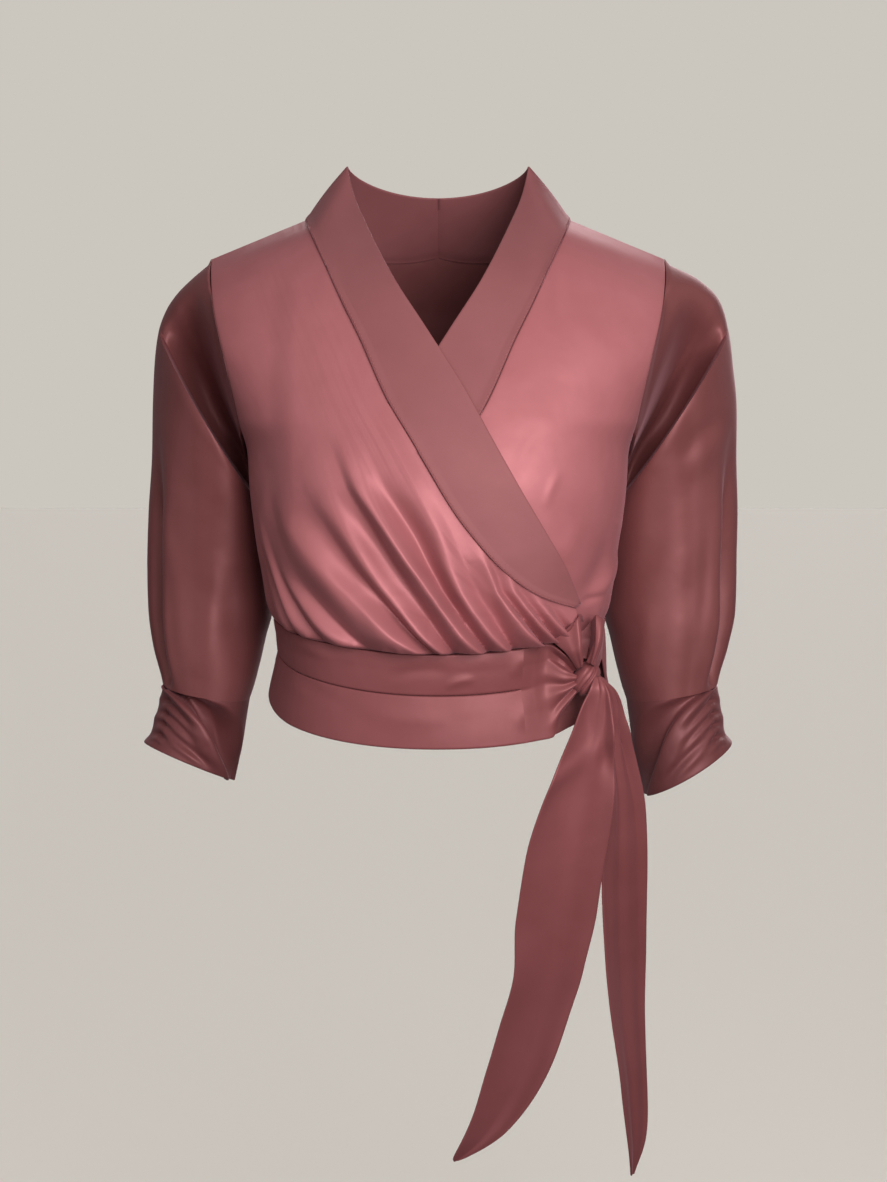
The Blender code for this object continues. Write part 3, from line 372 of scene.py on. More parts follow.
def edge_stations(rises):
    """Where the front's neck edge crosses rows of the body, in rows of the edge table."""
    samples = np.linspace(0, len(FRONT_EDGE_ROWS) - 1, 801)
    x, z = front_edge("x_seam", samples), front_edge("z_seam", samples)
    stations = []
    for rise in rises:
        row_z = body_point(x / body_value("x_side", rise), rise, False)[:, 2]
        stations.append(np.interp(0.0, row_z - z, samples))
    return np.array(stations)


def gathers(rows, place, rise):
    """Height of the folds of a table at a place along the seam and a rise."""
    height = np.zeros(np.broadcast(place, rise).shape)
    for at_seam, at_top, reach, half_width, tall in rows:
        climb = np.clip(rise / reach, 0, 1)
        middle = at_seam + (at_top - at_seam) * climb
        width = half_width * (1 + GATHER_SPREAD * climb)
        turn = np.pi * (GATHER_START + (1 - GATHER_START) * climb)
        height += tall * hill(place - middle, width) * np.clip(np.sin(turn), 0, 1) ** 0.8
    return height


def mirrored(points):
    """Points of one side of the body on its other side."""
    return points * np.array([-1.0, 1.0, 1.0])


def sided(left, grid, way):
    """A grid made at -X and its outward directions, or both mirrored for +X."""
    return (mirrored(grid), mirrored(way)) if left else (grid, way)


def wrap_lift(x, rise):
    """The right front rises over the left front, and comes down again at its seams."""
    return WRAP_LIFT * smoothstep(*WRAP_X, x) * (1 - smoothstep(0.80, 0.95, rise))


def back_top_rise(share):
    """The row that the back's top edge reaches: the shoulder, or the neck's hollow."""
    neck = np.clip(1 - (np.abs(share) * SHOULDER_X / NECK_X) ** 2, 0, 1)
    return 1.0 - NECK_DROP * neck**0.62


def waist_line(degrees, row):
    """A line of the waistband on the body form, and its outward directions."""
    angle = np.radians(degrees)
    cos, share = np.cos(angle), np.sin(angle)
    y_centre = np.where(cos >= 0, BAND["y_front"][row], BAND["y_back"][row])
    bulge = np.clip(1 - np.abs(share) ** SECTION_POWER, 0, 1) ** BODY["bow"][0]
    dip = BAND["dip"][row] * np.clip(cos, 0, 1) ** BAND["dip_power"][row]
    point = np.stack([BAND["x_side"][row] * share,
                      BAND_Y_SIDE + (y_centre - BAND_Y_SIDE) * bulge,
                      BAND["z_side"][row] - dip], -1)
    normal = unit(np.stack([share / BAND["x_side"][row], -cos / np.abs(y_centre), 0 * share], -1))
    return point, normal


def band_lift(degrees):
    """The band lies over the wrap at the front, and over the underband at the tied side."""
    x = BAND["x_side"][0] * np.sin(np.radians(degrees))
    front = smoothstep(*WRAP_X, x) * (degrees > -90.0)
    tied_side = 1 - smoothstep(-270.0, -260.0, degrees)
    return BAND_LIFT + WRAP_LIFT * np.maximum(front, tied_side)


def clear_of_body(points):
    """The points of a sleeve at -X, with any that lie too near the body moved outwards."""
    x, y, z = points[..., 0], points[..., 1], points[..., 2]
    rise = np.interp(z, BODY["z_side"], BODY["rise"])
    reach = np.zeros(rise.shape)
    for back in (False, True):
        y_side = body_value("y_side_back" if back else "y_side_front", rise)
        y_centre = body_value("y_back" if back else "y_front", rise)
        depth = np.clip((y - y_side) / (y_centre - y_side - 1e-6), 0, 1)
        share = (1 - depth ** (1 / body_value("bow", rise))) ** (1 / SECTION_POWER)
        beside = (y > BAND_Y_SIDE) if back else (y <= BAND_Y_SIDE)
        reach = np.where(beside, share * body_value("x_side", rise), reach)
    moved = points.copy()
    moved[..., 0] = np.minimum(x, -reach - SLEEVE_CLEARANCE)
    return moved


def lines_height(table, place, rise, spans=(1.0, 1.0, 1.0)):
    """Height of a table's crests and valleys at each place of one row at a rise.

    spans gives how wide the panel is at the seam, at STRAIGHT_RISE and at this rise, so
    that the folds run straight down to the seam.
    """
    lines = np.array(table)
    places, reach, tall = lines[:, :-2].T / 1000, lines[:, -2], lines[:, -1]
    at = spline(FOLD_RISES, places, rise)
    if rise < STRAIGHT_RISE and spans[0] != 1.0:
        low, high = places[0] * spans[0], spline(FOLD_RISES, places, STRAIGHT_RISE) * spans[1]
        at = (low + (high - low) * rise / STRAIGHT_RISE) / spans[2]
    climb = np.clip(rise / reach, 0, 1)
    tucked = SEAM_TUCK[0] + SEAM_TUCK[1] * math.sin(math.pi / 2 * min(rise / SEAM_ROUND, 1.0))
    tucked += SEAM_TUCK[2] * float(smoothstep(0.0, SEAM_SWELL, rise))
    heights = tall * np.where(tall > 0, (1 - smoothstep(0.08, 1.0, climb)) * tucked,
                              1 - smoothstep(0.35, 1.0, climb))
    order = np.argsort(at)
    stations = np.maximum.accumulate(at[order] + np.arange(len(at)) * 1e-5)
    stations = np.concatenate([[min(0.0, stations[0] - 0.05)], stations, [stations[-1] + 0.1]])
    heights = np.concatenate([[0.0], heights[order], [0.0]])
    k = np.clip(np.searchsorted(stations, place, side="right") - 1, 0, len(stations) - 2)
    f = np.clip((place - stations[k]) / (stations[k + 1] - stations[k]), 0, 1)
    rising = heights[k + 1] > heights[k]
    from_valley = np.where(rising, f, 1 - f)
    pinch = VALLEY_PINCH * (1 - 0.85 * smoothstep(0.0, STRAIGHT_RISE, rise))
    g = (1 - pinch) * smoothstep(0, 1, from_valley) + pinch * np.sin(np.pi / 2 * from_valley)
    low, high = np.minimum(heights[k], heights[k + 1]), np.maximum(heights[k], heights[k + 1])
    return low + (high - low) * g


def puckers(place, rise):
    """The short puckers between the long folds, right above the waist seam."""
    height = np.zeros(np.broadcast(place, rise).shape)
    for at, width, tall in SEAM_PUCKERS:
        height += tall * hill(place - at, width)
    return height * (1 - smoothstep(0.0, PUCKER_REACH, rise)) * smoothstep(0.0, 0.012, rise)


def creases(points, table):
    """Height of soft ridges and troughs placed in the front view.

    A row gives the x and z of a crease's two ends, how far it bows to its left, its half
    width and its height, which is below zero in a trough.
    """
    x, z = points[..., 0], points[..., 2]
    total = np.zeros(x.shape)
    for x0, z0, x1, z1, bow, width, tall in table:
        run = np.array([x1 - x0, z1 - z0])
        length = np.linalg.norm(run)
        way = run / length
        along = ((x - x0) * way[0] + (z - z0) * way[1]) / length
        beside = (z - z0) * way[0] - (x - x0) * way[1] - 4 * bow * along * (1 - along)
        inside = np.clip(along, 0, 1)
        total += tall * hill(beside, width) * np.sin(np.pi * inside) ** 0.8
    return total


def lengths(grid, axis):
    """How far each point lies from the first one along an axis of a grid."""
    step = np.linalg.norm(np.diff(grid, axis=axis), axis=-1)
    zero = np.zeros_like(np.take(step, [0], axis))
    return np.concatenate([zero, np.cumsum(step, axis)], axis)


def graded(count, length):
    """Stations from 0 to 1 along a length, with close ones beside both ends."""
    close = np.array(CLOSE_STATIONS) / length
    middle = np.linspace(close[-1], 1 - close[-1], count)[1:-1]
    return np.concatenate([close, middle, 1 - close[::-1]])


def outward_normals(grid, outward, ring):
    """Unit normals of a grid of points, on the side that outward points to."""
    if ring:
        along = np.roll(grid, -1, 1) - np.roll(grid, 1, 1)
    else:
        along = np.gradient(grid, axis=1)
    normal = unit(np.cross(along, np.gradient(grid, axis=0)) + 1e-12)
    side = np.sign(np.sum(normal * outward, -1).mean())
    return normal * side, side


def placed(name, data):
    """A new object of the scene with some data."""
    obj = bpy.data.objects.new(name, data)
    bpy.context.scene.collection.objects.link(obj)
    return obj


def cloth(name, node, grid, wall, materials, outward, ring=False, rolled=1.0):
    """A closed shell of cloth under a grid of points, with rolled edges, for a CAD node.

    ring joins the grid's last column to its first, and rolled says how far each point's
    border turns in, as a share of EDGE_ROLL.
    """
    rows, columns = grid.shape[:2]
    normal, side = outward_normals(grid, outward, ring)
    looped = np.concatenate([grid, grid[:, :1]], 1) if ring else grid
    along, up = lengths(looped, 1), lengths(looped, 0)
    to_border = np.minimum(up, up[-1:] - up)[:, :columns]
    if not ring:
        to_border = np.minimum(to_border, np.minimum(along, along[:, -1:] - along))
    roll = 1 - np.sqrt(1 - (1 - np.clip(to_border / EDGE_WIDTH, 0, 1)) ** 2)
    turned_in = (EDGE_ROLL * rolled * roll)[..., None] * wall
    front = grid - normal * turned_in
    back = grid - normal * (wall - turned_in)
    points = np.concatenate([front.reshape(-1, 3), back.reshape(-1, 3)]) * MM

    steps = columns if ring else columns - 1
    r, c = np.meshgrid(np.arange(rows - 1), np.arange(steps), indexing="ij")
    corner = np.stack([r, r, r + 1, r + 1], -1).reshape(-1, 4)
    across = np.stack([c, c + 1, c + 1, c], -1).reshape(-1, 4)
    shift = rows * columns

    def index(row, column, layer):
        return row * columns + column % columns + layer * shift

    quads = [index(corner, across, 0), index(corner, across, 1)[:, ::-1]]
    shown = [(corner, across), (corner[:, ::-1], across[:, ::-1])]
    borders = [(True, 0, 1), (True, rows - 1, -1)]
    if not ring:
        borders += [(False, 0, -1), (False, columns - 1, 1)]
    for is_row, place, order in borders:
        line = np.arange(steps if is_row else rows - 1)
        moving = np.stack([line, line, line + 1, line + 1], -1)[:, ::order]
        still = np.full(moving.shape, place)
        rim = (still, moving) if is_row else (moving, still)
        quads.append(index(*rim, np.array([0, 1, 1, 0])[::order]))
        shown.append(rim)
    faces = np.concatenate(quads)
    uv = np.stack([along, up], -1) * MM
    corners = np.concatenate([uv[rr, cc] for rr, cc in shown])
    if side < 0:
        faces, corners = faces[:, ::-1], corners[:, ::-1]

    mesh = bpy.data.meshes.new(name)
    mesh.from_pydata(points.tolist(), [], faces.tolist())
    mesh.uv_layers.new(name="cloth").data.foreach_set("uv", corners.ravel())
    for material in materials:
        mesh.materials.append(material)
    inner_side = np.zeros(len(faces), np.int32)
    inner_side[len(quads[0]):2 * len(quads[0])] = len(materials) - 1
    mesh.polygons.foreach_set("material_index", inner_side)
    mesh.shade_smooth()
    mesh.set_sharp_from_angle(angle=math.radians(SHARP_ANGLE))
    mesh.update()
    obj = placed(name, mesh)
    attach(obj, "root")
    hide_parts(node)


HIDDEN_DEPTH = 6.0       # how far the left front falls back where the wrap hides it


def hidden(shown, rise):
    """How far a point of the left front, or of its collar, is under the wrap, from 0 to 1."""
    edge_z, free_x = FRONT_EDGE["z_free"], FRONT_EDGE["x_free"]
    under = np.interp(-shown[..., 2], -edge_z, free_x) - shown[..., 0]
    return smoothstep(8.0, 34.0, under) * (1 - smoothstep(0.7, 0.9, rise))


# Creases of the fronts, as creases() takes them
LEFT_CREASES = (
    (116, -326, 150, -262, -5, 9, -3.4),
    (127, -322, 158, -290, -2, 5, 2.2),
    (104, -292, 118, -255, 2, 8, 1.2),
    (62, -222, 86, -176, 3, 7, -1),
    (88, -246, 100, -214, 2, 4, 0.9),
    (98, -14, 96, -100, 2, 7, -1.2),
    (118, -326, 138, -320, 0, 3, -1.6),
)
RIGHT_CREASES = (
    (-112, -244, -49, -352, 5, 9, -3),
    (-84, -232, -24, -348, 6, 10, -4.2),
    (-52, -220, 19, -345, 7, 9, -3.6),
    (-66, -222, -8, -336, 6, 8, 2.6),
    (-30, -222, 38, -330, 7, 9, 2.4),
    (28, -286, 54, -354, 4, 5, -2.4),
    (-112, -206, -60, -250, 4, 16, 1.6),
    (-140, -216, -148, -300, -3, 7, 1.6),
    (-150, -180, -132, -262, -3, 9, -1.2),
    (-96, -120, -40, -196, -5, 22, 1),
)


def panel_rises(low_rows):
    """The rises of a panel's rows of points, with a number of them up to FINE_RISE."""
    return np.concatenate([np.linspace(0, FINE_RISE, low_rows)[:-1],
                           np.linspace(FINE_RISE, 1, TOP_ROWS)])


def front_grid(over):
    """The right front, which lies over, or the left front under it."""
    rise = np.sort(np.concatenate([SEAM_RISES, panel_rises(FRONT_ROWS)[1:]]))
    place = graded(*(FRONT_OVER_ACROSS if over else FRONT_UNDER_ACROSS))
    edge_x = front_edge("x_seam", edge_stations(rise))
    edge_angle = np.arcsin(edge_x / body_value("x_side", rise))
    share = np.sin(-np.pi / 2 + (edge_angle[:, None] + np.pi / 2) * place[None, :])
    place, rise = np.broadcast_arrays(place[None, :], rise[:, None])
    point = body_point(share, rise, False)
    normal = body_normal(share, rise, False)
    if over:
        span = edge_angle + np.pi / 2
        fold = [lines_height(FOLD_LINES, p, r[0],
                             (span[0], np.interp(STRAIGHT_RISE, rise[:, 0], span), s))
                for p, r, s in zip(place, rise, span)]
        fold = FOLD_DEPTH * np.array(fold)
        fold += puckers(place, rise) + creases(point, RIGHT_CREASES) * smoothstep(0, 0.08, rise)
        lift = wrap_lift(point[..., 0], rise) + fold
    else:
        lift = gathers(LEFT_GATHERS, place, rise) * smoothstep(*LEFT_GATHER_X, -point[..., 0])
        lift *= smoothstep(0.0, 0.05, place)
        shown = mirrored(point)
        lift += creases(shown, LEFT_CREASES)
        lift -= HIDDEN_DEPTH * hidden(shown, rise)
    grid = point + normal * lift[..., None]
    at_side_seam = (place == 0.0) & (rise <= UNDERARM_RISE)
    grid[..., 1] -= np.where(at_side_seam, SEAM_GAP / 2, 0.0)
    grid[-1, :, 1] -= SEAM_GAP / 2
    return sided(not over, grid, normal)


# Gathers of the back, in the columns of FOLD_LINES, and its creases
BACK_RISE_COLUMN = 60    # the column of points whose rises the gathers take
BACK_LINES = (
    (180, 185, 190, 192, 195, 200, 205, 0.3, -0.8),
    (225, 228, 230, 232, 234, 236, 240, 0.34, 3.2),
    (262, 264, 266, 268, 268, 270, 272, 0.36, -1.2),
    (292, 292, 294, 296, 300, 305, 310, 0.46, 6),
    (330, 328, 328, 330, 334, 340, 348, 0.4, -1.6),
    (362, 362, 364, 368, 374, 380, 386, 0.3, 5),
    (396, 398, 402, 406, 410, 414, 418, 0.4, -1.8),
    (424, 428, 434, 440, 444, 448, 450, 0.5, 7),
    (462, 464, 466, 468, 470, 474, 478, 0.42, -1.6),
    (492, 494, 495, 496, 498, 502, 506, 0.26, 5),
    (528, 524, 520, 518, 518, 520, 522, 0.4, -1.8),
    (556, 552, 548, 546, 546, 548, 550, 0.44, 6.5),
    (590, 588, 586, 584, 582, 582, 582, 0.4, -1.6),
    (622, 622, 622, 620, 618, 616, 614, 0.36, 5.5),
    (660, 658, 654, 650, 646, 642, 638, 0.38, -1.4),
    (700, 698, 694, 690, 686, 682, 678, 0.48, 6),
    (742, 740, 738, 736, 734, 732, 730, 0.36, -1.2),
    (780, 778, 776, 774, 772, 770, 768, 0.32, 3.4),
    (820, 818, 814, 810, 806, 800, 796, 0.3, -0.8),
)
BACK_CREASES = (
    (-120, -300, -70, -210, 6, 12, 1.6),
    (128, -310, 84, -196, -7, 13, 1.8),
    (-148, -196, -96, -130, 5, 12, 1.6),
    (150, -190, 104, -136, -5, 14, 1.4),
    (-60, -66, 62, -72, -9, 12, 1.1),
    (-134, -236, -60, -150, 4, 9, -1),
    (112, -250, 66, -160, -6, 10, -1.1),
)


def back_grid():
    """The back, up to the shoulder seams and the neck's hollow."""
    rows = panel_rises(BACK_ROWS)
    share = np.sin((graded(*BACK_ACROSS) - 0.5) * np.pi)
    top = back_top_rise(share)[None, :]
    above_half = 0.5 + (rows[:, None] - 0.5) * (top - 0.5) / 0.5
    rise = np.where(rows[:, None] < 0.5, rows[:, None], above_half)
    share = np.broadcast_to(share[None, :], rise.shape)
    point = body_point(share, rise, True)
    normal = body_normal(share, rise, True)
    place = 0.5 + np.arcsin(share) / np.pi
    fold = np.array([lines_height(BACK_LINES, p, r[BACK_RISE_COLUMN]) for p, r in zip(place, rise)])
    fold += creases(point, BACK_CREASES)
    grid = point + normal * fold[..., None]
    at_side_seam = (np.abs(share) > 1 - 1e-9) & (rise <= UNDERARM_RISE)
    grid[..., 1] += np.where(at_side_seam, SEAM_GAP / 2, 0.0)
    grid[-1, :, 1] += SEAM_GAP / 2
    return grid, normal


COLLAR_RIDGE = (4.6, 0.7, 1)  # width, height and softness of the seam's pressed ridge
NECK_LAP = 1.6           # how far the collar laps over the back's neck edge


def front_rises(x, z):
    """The rise at which the front of the body form passes through x and z."""
    low, high = np.zeros(x.shape), np.ones(x.shape)
    for _ in range(26):
        middle = (low + high) / 2
        share = np.clip(x / body_value("x_side", middle), -1, 1)
        below = body_point(share, middle, False)[..., 2] < z
        low, high = np.where(below, middle, low), np.where(below, high, middle)
    return (low + high) / 2


def collar_grid(over):
    """A half of the collar, from the centre back down the wrap's edge, over or under."""
    lowest = EDGE_RISE
    rises = np.concatenate([np.linspace(1.0, 0.3, 80)[:-1], np.linspace(0.3, lowest, 50)])
    at = edge_stations(rises)
    across = graded(*COLLAR_ACROSS)[:, None]
    x = front_edge("x_seam", at) * (1 - across) + front_edge("x_free", at) * across
    z = front_edge("z_seam", at) * (1 - across) + front_edge("z_free", at) * across
    rise = front_rises(x, z)
    rise[0] = rises
    share = np.clip(x / body_value("x_side", rise), -1, 1)
    flat = np.stack([-x, 0 * x, z], -1)
    lift = (wrap_lift(x, rise) + COLLAR_LIFT if over
            else UNDER_COLLAR_LIFT - HIDDEN_DEPTH * hidden(flat, rise))
    chest_normal = body_normal(share, rise, False)
    on_body = body_point(share, rise, False) + chest_normal * lift[..., None]
    beside_neck = spline(np.arange(len(COLLAR_NECK_HUG)), COLLAR_NECK_HUG, at)
    hug = smoothstep(1.8, 3.4, at)
    free_y = beside_neck * (1 - hug) + on_body[-1, :, 1] * hug
    straight_y = on_body[0, :, 1] * (1 - across) + free_y * across
    on_chest = smoothstep(1.5, 4.0, at)
    y = straight_y * (1 - on_chest) + on_body[..., 1] * on_chest
    x = x * (1 - on_chest) + on_body[..., 0] * on_chest
    z = z * (1 - on_chest) + on_body[..., 2] * on_chest
    chest = np.stack([x, y, z], -1)

    steps = 46
    angle = np.linspace(0.0, np.pi / 2, steps)
    neck_share = -NECK_X / SHOULDER_X * np.sin(angle)
    neck_seam = body_point(neck_share, back_top_rise(neck_share), True)
    rise_to_tip = COLLAR_TIP[1] - (COLLAR_TIP[1] - COLLAR_BACK[1]) * np.cos(angle) ** 1.4
    neck_free = np.stack([-COLLAR_TIP[0] * np.sin(angle), COLLAR_BACK[0] * np.cos(angle),
                          rise_to_tip], -1)
    neck = neck_seam[None] * (1 - across[..., None]) + neck_free[None] * across[..., None]
    band = np.concatenate([neck, chest[:, 1:]], 1)
    standing = unit(np.cross(np.gradient(band, axis=1), np.gradient(band, axis=0)))
    beside_seam = np.clip(1 - 2 * across, 0, 1) * smoothstep(0.0, 1.0, at)
    chest_share = np.zeros(band.shape[:2] + (1,))
    chest_share[:, steps:, 0] = np.maximum(on_chest, beside_seam)[:, 1:]
    chest_normal = np.concatenate([np.repeat(chest_normal[:, :1], steps, 1),
                                   chest_normal[:, 1:]], 1)
    normal = unit(standing * (1 - chest_share) + chest_normal * chest_share)
    crown = COLLAR_CROWN * np.sin(np.pi * across[..., None]) * (1 - chest_share)
    width, tall, soft = COLLAR_RIDGE
    from_seam = lengths(band, 0)
    ridge = tall * (1 - smoothstep(width - soft, width + soft, from_seam))
    grid = band + normal * (crown + ridge[..., None])
    grid[0] += unit(band[1] - band[0]) * SEAM_GAP * 1.4
    grid[0, :steps] -= unit(band[1] - band[0])[:steps] * NECK_LAP
    grid[:, 0, 0] = 0.0
    return sided(not over, grid, normal)


# Creases of the waistband's two strips, drawn towards the knot
UPPER_CREASES = (
    (58, -384, 86, -362, 3, 6, 1.5),
    (70, -392, 104, -366, -3, 5, -1.6),
    (84, -394, 106, -378, 2, 4, 1.4),
    (-40, -384, 10, -378, 3, 5, -0.8),
    (6, -392, 30, -386, 2, 3, 1.2),
    (-128, -356, -84, -374, 3, 6, 0.9),
    (-120, -352, -60, -364, -3, 5, -0.8),
    (20, -366, 80, -356, 3, 6, -0.8),
)
LOWER_CREASES = (
    (60, -424, 100, -398, 4, 7, 1.7),
    (74, -428, 106, -404, 3, 4, -1.5),
    (-60, -412, 10, -418, -3, 7, 0.8),
    (-118, -388, -70, -408, -3, 6, -0.8),
)


def band_grid(degrees, rows, lift, folds, down):
    """A strip of the waistband between two or more of its table's lines."""
    lines, ways = (np.array(part) for part in zip(*[waist_line(degrees, r) for r in rows]))
    if rows[0]:
        lines[0, :, 2] -= SEAM_GAP
    at = np.linspace(0, 1, len(rows))
    grid = straight(at, lines, down)
    way = unit(straight(at, ways, down))
    crown = BAND_CROWN * np.sin(np.pi * down)[:, None]
    front = (np.abs((degrees + 180) % 360 - 180) < 90)[None, :]
    fold = creases(grid, folds) * np.where(front, 1.0, -0.6)
    return grid + way * (lift[None, :] + crown + fold)[..., None], way


SLEEVE_LIP = 3.72            # the ring where the hollow's far wall starts
SLEEVE_UNDER = 14.0          # how far the hollow runs on under the lip
SLEEVE_FINE = (3.4, 4.3)     # rings between which the points lie close together
FLAP = (0.5, 9)              # ring and height of the flap beside the armhole seam


def sleeve_value(table, column, t):
    """A column of a sleeve's table at rings t. The hollow ends sharply at SLEEVE_LIP."""
    if column != "hollow":
        return spline(np.arange(len(table[column])), table[column], t)
    stations = np.array([0.0, 1.0, 2.0, 3.0, SLEEVE_LIP, 4.0, 5.0, 6.0])
    values = table["hollow"]
    depth = np.array([values[0], values[1], values[2], values[3], values[3], 2.0, 0.0, 0.0])
    return spline(stations, depth, np.minimum(t, 6.0))


def tube_grid(rows, t, angle, left):
    """The points of a tube through a sleeve table's rings at stations t, and its middle."""
    table = named(SLEEVE_COLUMNS, rows)
    value = {c: sleeve_value(table, c, t)[:, None] for c in SLEEVE_COLUMNS if c != "hollow"}
    if len(rows) == len(SLEEVE_ROWS):
        value["hollow"] = sleeve_value(table, "hollow", t)[:, None]
    else:
        value["hollow"] = np.zeros((len(t), 1))
    spread = value["spread"] if left else 0.0
    cos, sin = np.cos(angle)[None, :], np.sin(angle)[None, :]
    x_middle = (value["x_out"] - spread + value["x_in"]) / 2
    x_half = (value["x_out"] - spread - value["x_in"]) / 2
    z_middle = (value["z_out"] + value["z_in"]) / 2
    z_half = (value["z_out"] - value["z_in"]) / 2
    middle = np.stack([x_middle, value["y_mid"], z_middle], -1)
    reach = np.where(sin > 0, value["front"], value["back"])
    point = np.stack([x_middle + x_half * cos, value["y_mid"] - reach * sin,
                      z_middle + z_half * cos], -1)
    degrees = np.degrees(angle)[None, :]
    hollow = np.exp(-np.abs((degrees - HOLLOW_ANGLE) / HOLLOW_WIDTH) ** 3.4)
    groove = hill(degrees - GROOVE_ANGLE, GROOVE_WIDTH)
    point[..., 1] += value["hollow"] * hollow
    point += unit(middle - point) * (GROOVE_DEEPER * value["groove"] * groove)[..., None]
    beside = hill(degrees - GROOVE_ANGLE - 17.0, 9.0)
    point -= unit(middle - point) * (0.25 * value["groove"] * beside)[..., None]
    return point, middle, hollow


SLEEVE_CREASES_RIGHT = (
    (-196, -70, -214, -110, 4, 6, 1.5),
    (-236, -150, -180, -330, -14, 14, 1.6),
    (-222, -170, -200, -330, -5, 13, -1.8),
    (-178, -300, -170, -400, -3, 12, -2.2),
    (-196, -300, -206, -398, 4, 12, 1.4),
    (-236, -260, -224, -380, 4, 7, 1.4),
)
SLEEVE_CREASES_LEFT = (
    (252, -166, 206, -208, -3, 8, -2.4),
    (256, -182, 214, -226, -3, 9, 1.8),
    (190, -214, 176, -318, 5, 12, -2),
    (214, -230, 204, -380, 5, 15, 1.6),
    (238, -220, 226, -390, 4, 10, 1.4),
    (232, -250, 222, -390, 3, 6, -1.2),
    (180, -330, 176, -410, 2, 8, 1.4),
)
SLEEVE_CREASES_BACK = (
    (-196, -90, -232, -200, 6, 13, 1.8),
    (-184, -150, -222, -300, 8, 10, -2),
    (-176, -220, -206, -380, 6, 12, 2.2),
    (-236, -220, -226, -390, -6, 9, 2),
    (-216, -260, -214, -396, -3, 8, -1.6),
)


def sleeve_grid(left):
    """A sleeve from the armhole to the pinch above its cuff."""
    angle = np.linspace(0, 2 * np.pi, SLEEVE_POINTS, endpoint=False)
    rise = (1 + UNDERARM_RISE) / 2 + (1 - UNDERARM_RISE) / 2 * np.cos(angle)
    in_front = (np.sin(angle) > 1e-9)[:, None]
    armhole = np.where(in_front, body_point(-1.0, rise, False), body_point(-1.0, rise, True))
    armhole[:, 0] -= ARMHOLE_GAP
    first, last = SLEEVE_FINE
    t = np.concatenate([np.linspace(0.0, first, 34)[:-1], np.linspace(first, last, 28)[:-1],
                        np.linspace(last, len(SLEEVE_ROWS) - 1, 84)])
    tube, middle, hollow = tube_grid(SLEEVE_ROWS, t, angle, left)
    under = smoothstep(2.6, 3.6, t) * (1 - smoothstep(3.78, 4.0, t))
    down = tube[np.searchsorted(t, 5.0)] - tube[np.searchsorted(t, first)]
    down[:, 1] = 0
    tube += unit(down)[None] * (SLEEVE_UNDER * under[:, None] * hollow)[..., None]
    flap_at, flap = FLAP
    tube[..., 1] -= flap * hill(t - flap_at, 0.45)[:, None] * hollow
    grid = clear_of_body(tube)
    outward = grid - middle
    shown = mirrored(grid) if left else grid
    table = SLEEVE_CREASES_LEFT if left else SLEEVE_CREASES_RIGHT
    fold = np.where(np.sin(angle) > 0, creases(shown, table), creases(grid, SLEEVE_CREASES_BACK))
    fold *= np.clip(np.abs(np.sin(angle)) * 1.6, 0, 1) * smoothstep(0.0, 1.0, t)[:, None]
    grid = clear_of_body(grid + unit(outward) * fold[..., None])
    close = np.linspace(0, 1, 5)[1:-1, None, None]
    between = armhole[None] * (1 - close) + grid[:1] * close
    grid = np.concatenate([armhole[None], between, grid])
    outward = np.concatenate([np.repeat(outward[:1], 4, 0), outward])
    return sided(left, grid, outward)


# The cuff's outer seam, drawn up into puckers, and the folds that run out from it. Folds
# are placed on the opened cuff: millimetres round it from its outer side, over the front,
# and down from its top, then the bow, half width and height that creases() takes.
RUCHE_ANGLE = 42.0       # degrees round the cuff from its outer side to the seam
# Puckers of the seam: place down it, half width and depth
RUCHES = ((0.15, 0.04, 3), (0.34, 0.034, 3.6), (0.5, 0.036, 3.2), (0.68, 0.042, 3.4))
RUCHE_SPREAD = 13.0      # degrees over which a pucker dies out
CUFF_ARC = 0.75          # millimetres round the cuff for each degree
CUFF_CREASES = (
    (38, -5, 70, -20, 2, 3.5, 1.8),
    (37, -11, 68, -28, 2, 3, -1.8),
    (38, -16, 80, -36, 2.5, 4, 2),
    (38, -22, 78, -43, 2.5, 3.2, -2),
    (38, -27, 96, -50, 3, 4.5, 2),
    (38, -34, 92, -54, 2.5, 3.2, -1.6),
    (38, -41, 84, -56, 1.5, 4, 1.6),
    (24, -8, 4, -14, 0, 4, 1.2),
    (24, -26, 2, -34, 0, 5, 1.4),
    (264, -8, 214, -20, -3, 5, 1.6),
    (264, -19, 204, -32, -3, 4, -1.8),
    (264, -30, 208, -44, -3, 5, 1.8),
    (262, -42, 214, -51, -2, 4, -1.4),
    (200, -14, 150, -40, -4, 6, 1.4),
)
# The slanting fold's edge, as degrees round the cuff at places down it
CUFF_FOLD_DOWN = (0, 0.1, 0.3, 0.65, 1)
CUFF_FOLD_ROUND = (40, 76, 104, 130, 158)
CUFF_FOLD = (7, 20)      # height of its lip and depth of the hollow behind it
CUFF_TUCK = 10.0         # how far the hollow runs under the fold's lip
CUFF_HEM_TILT = (7, 10)  # how much the hem at -X rises in front and drops behind
CUFF_FLARE = 3.0         # how far the hem turns out at the outer side


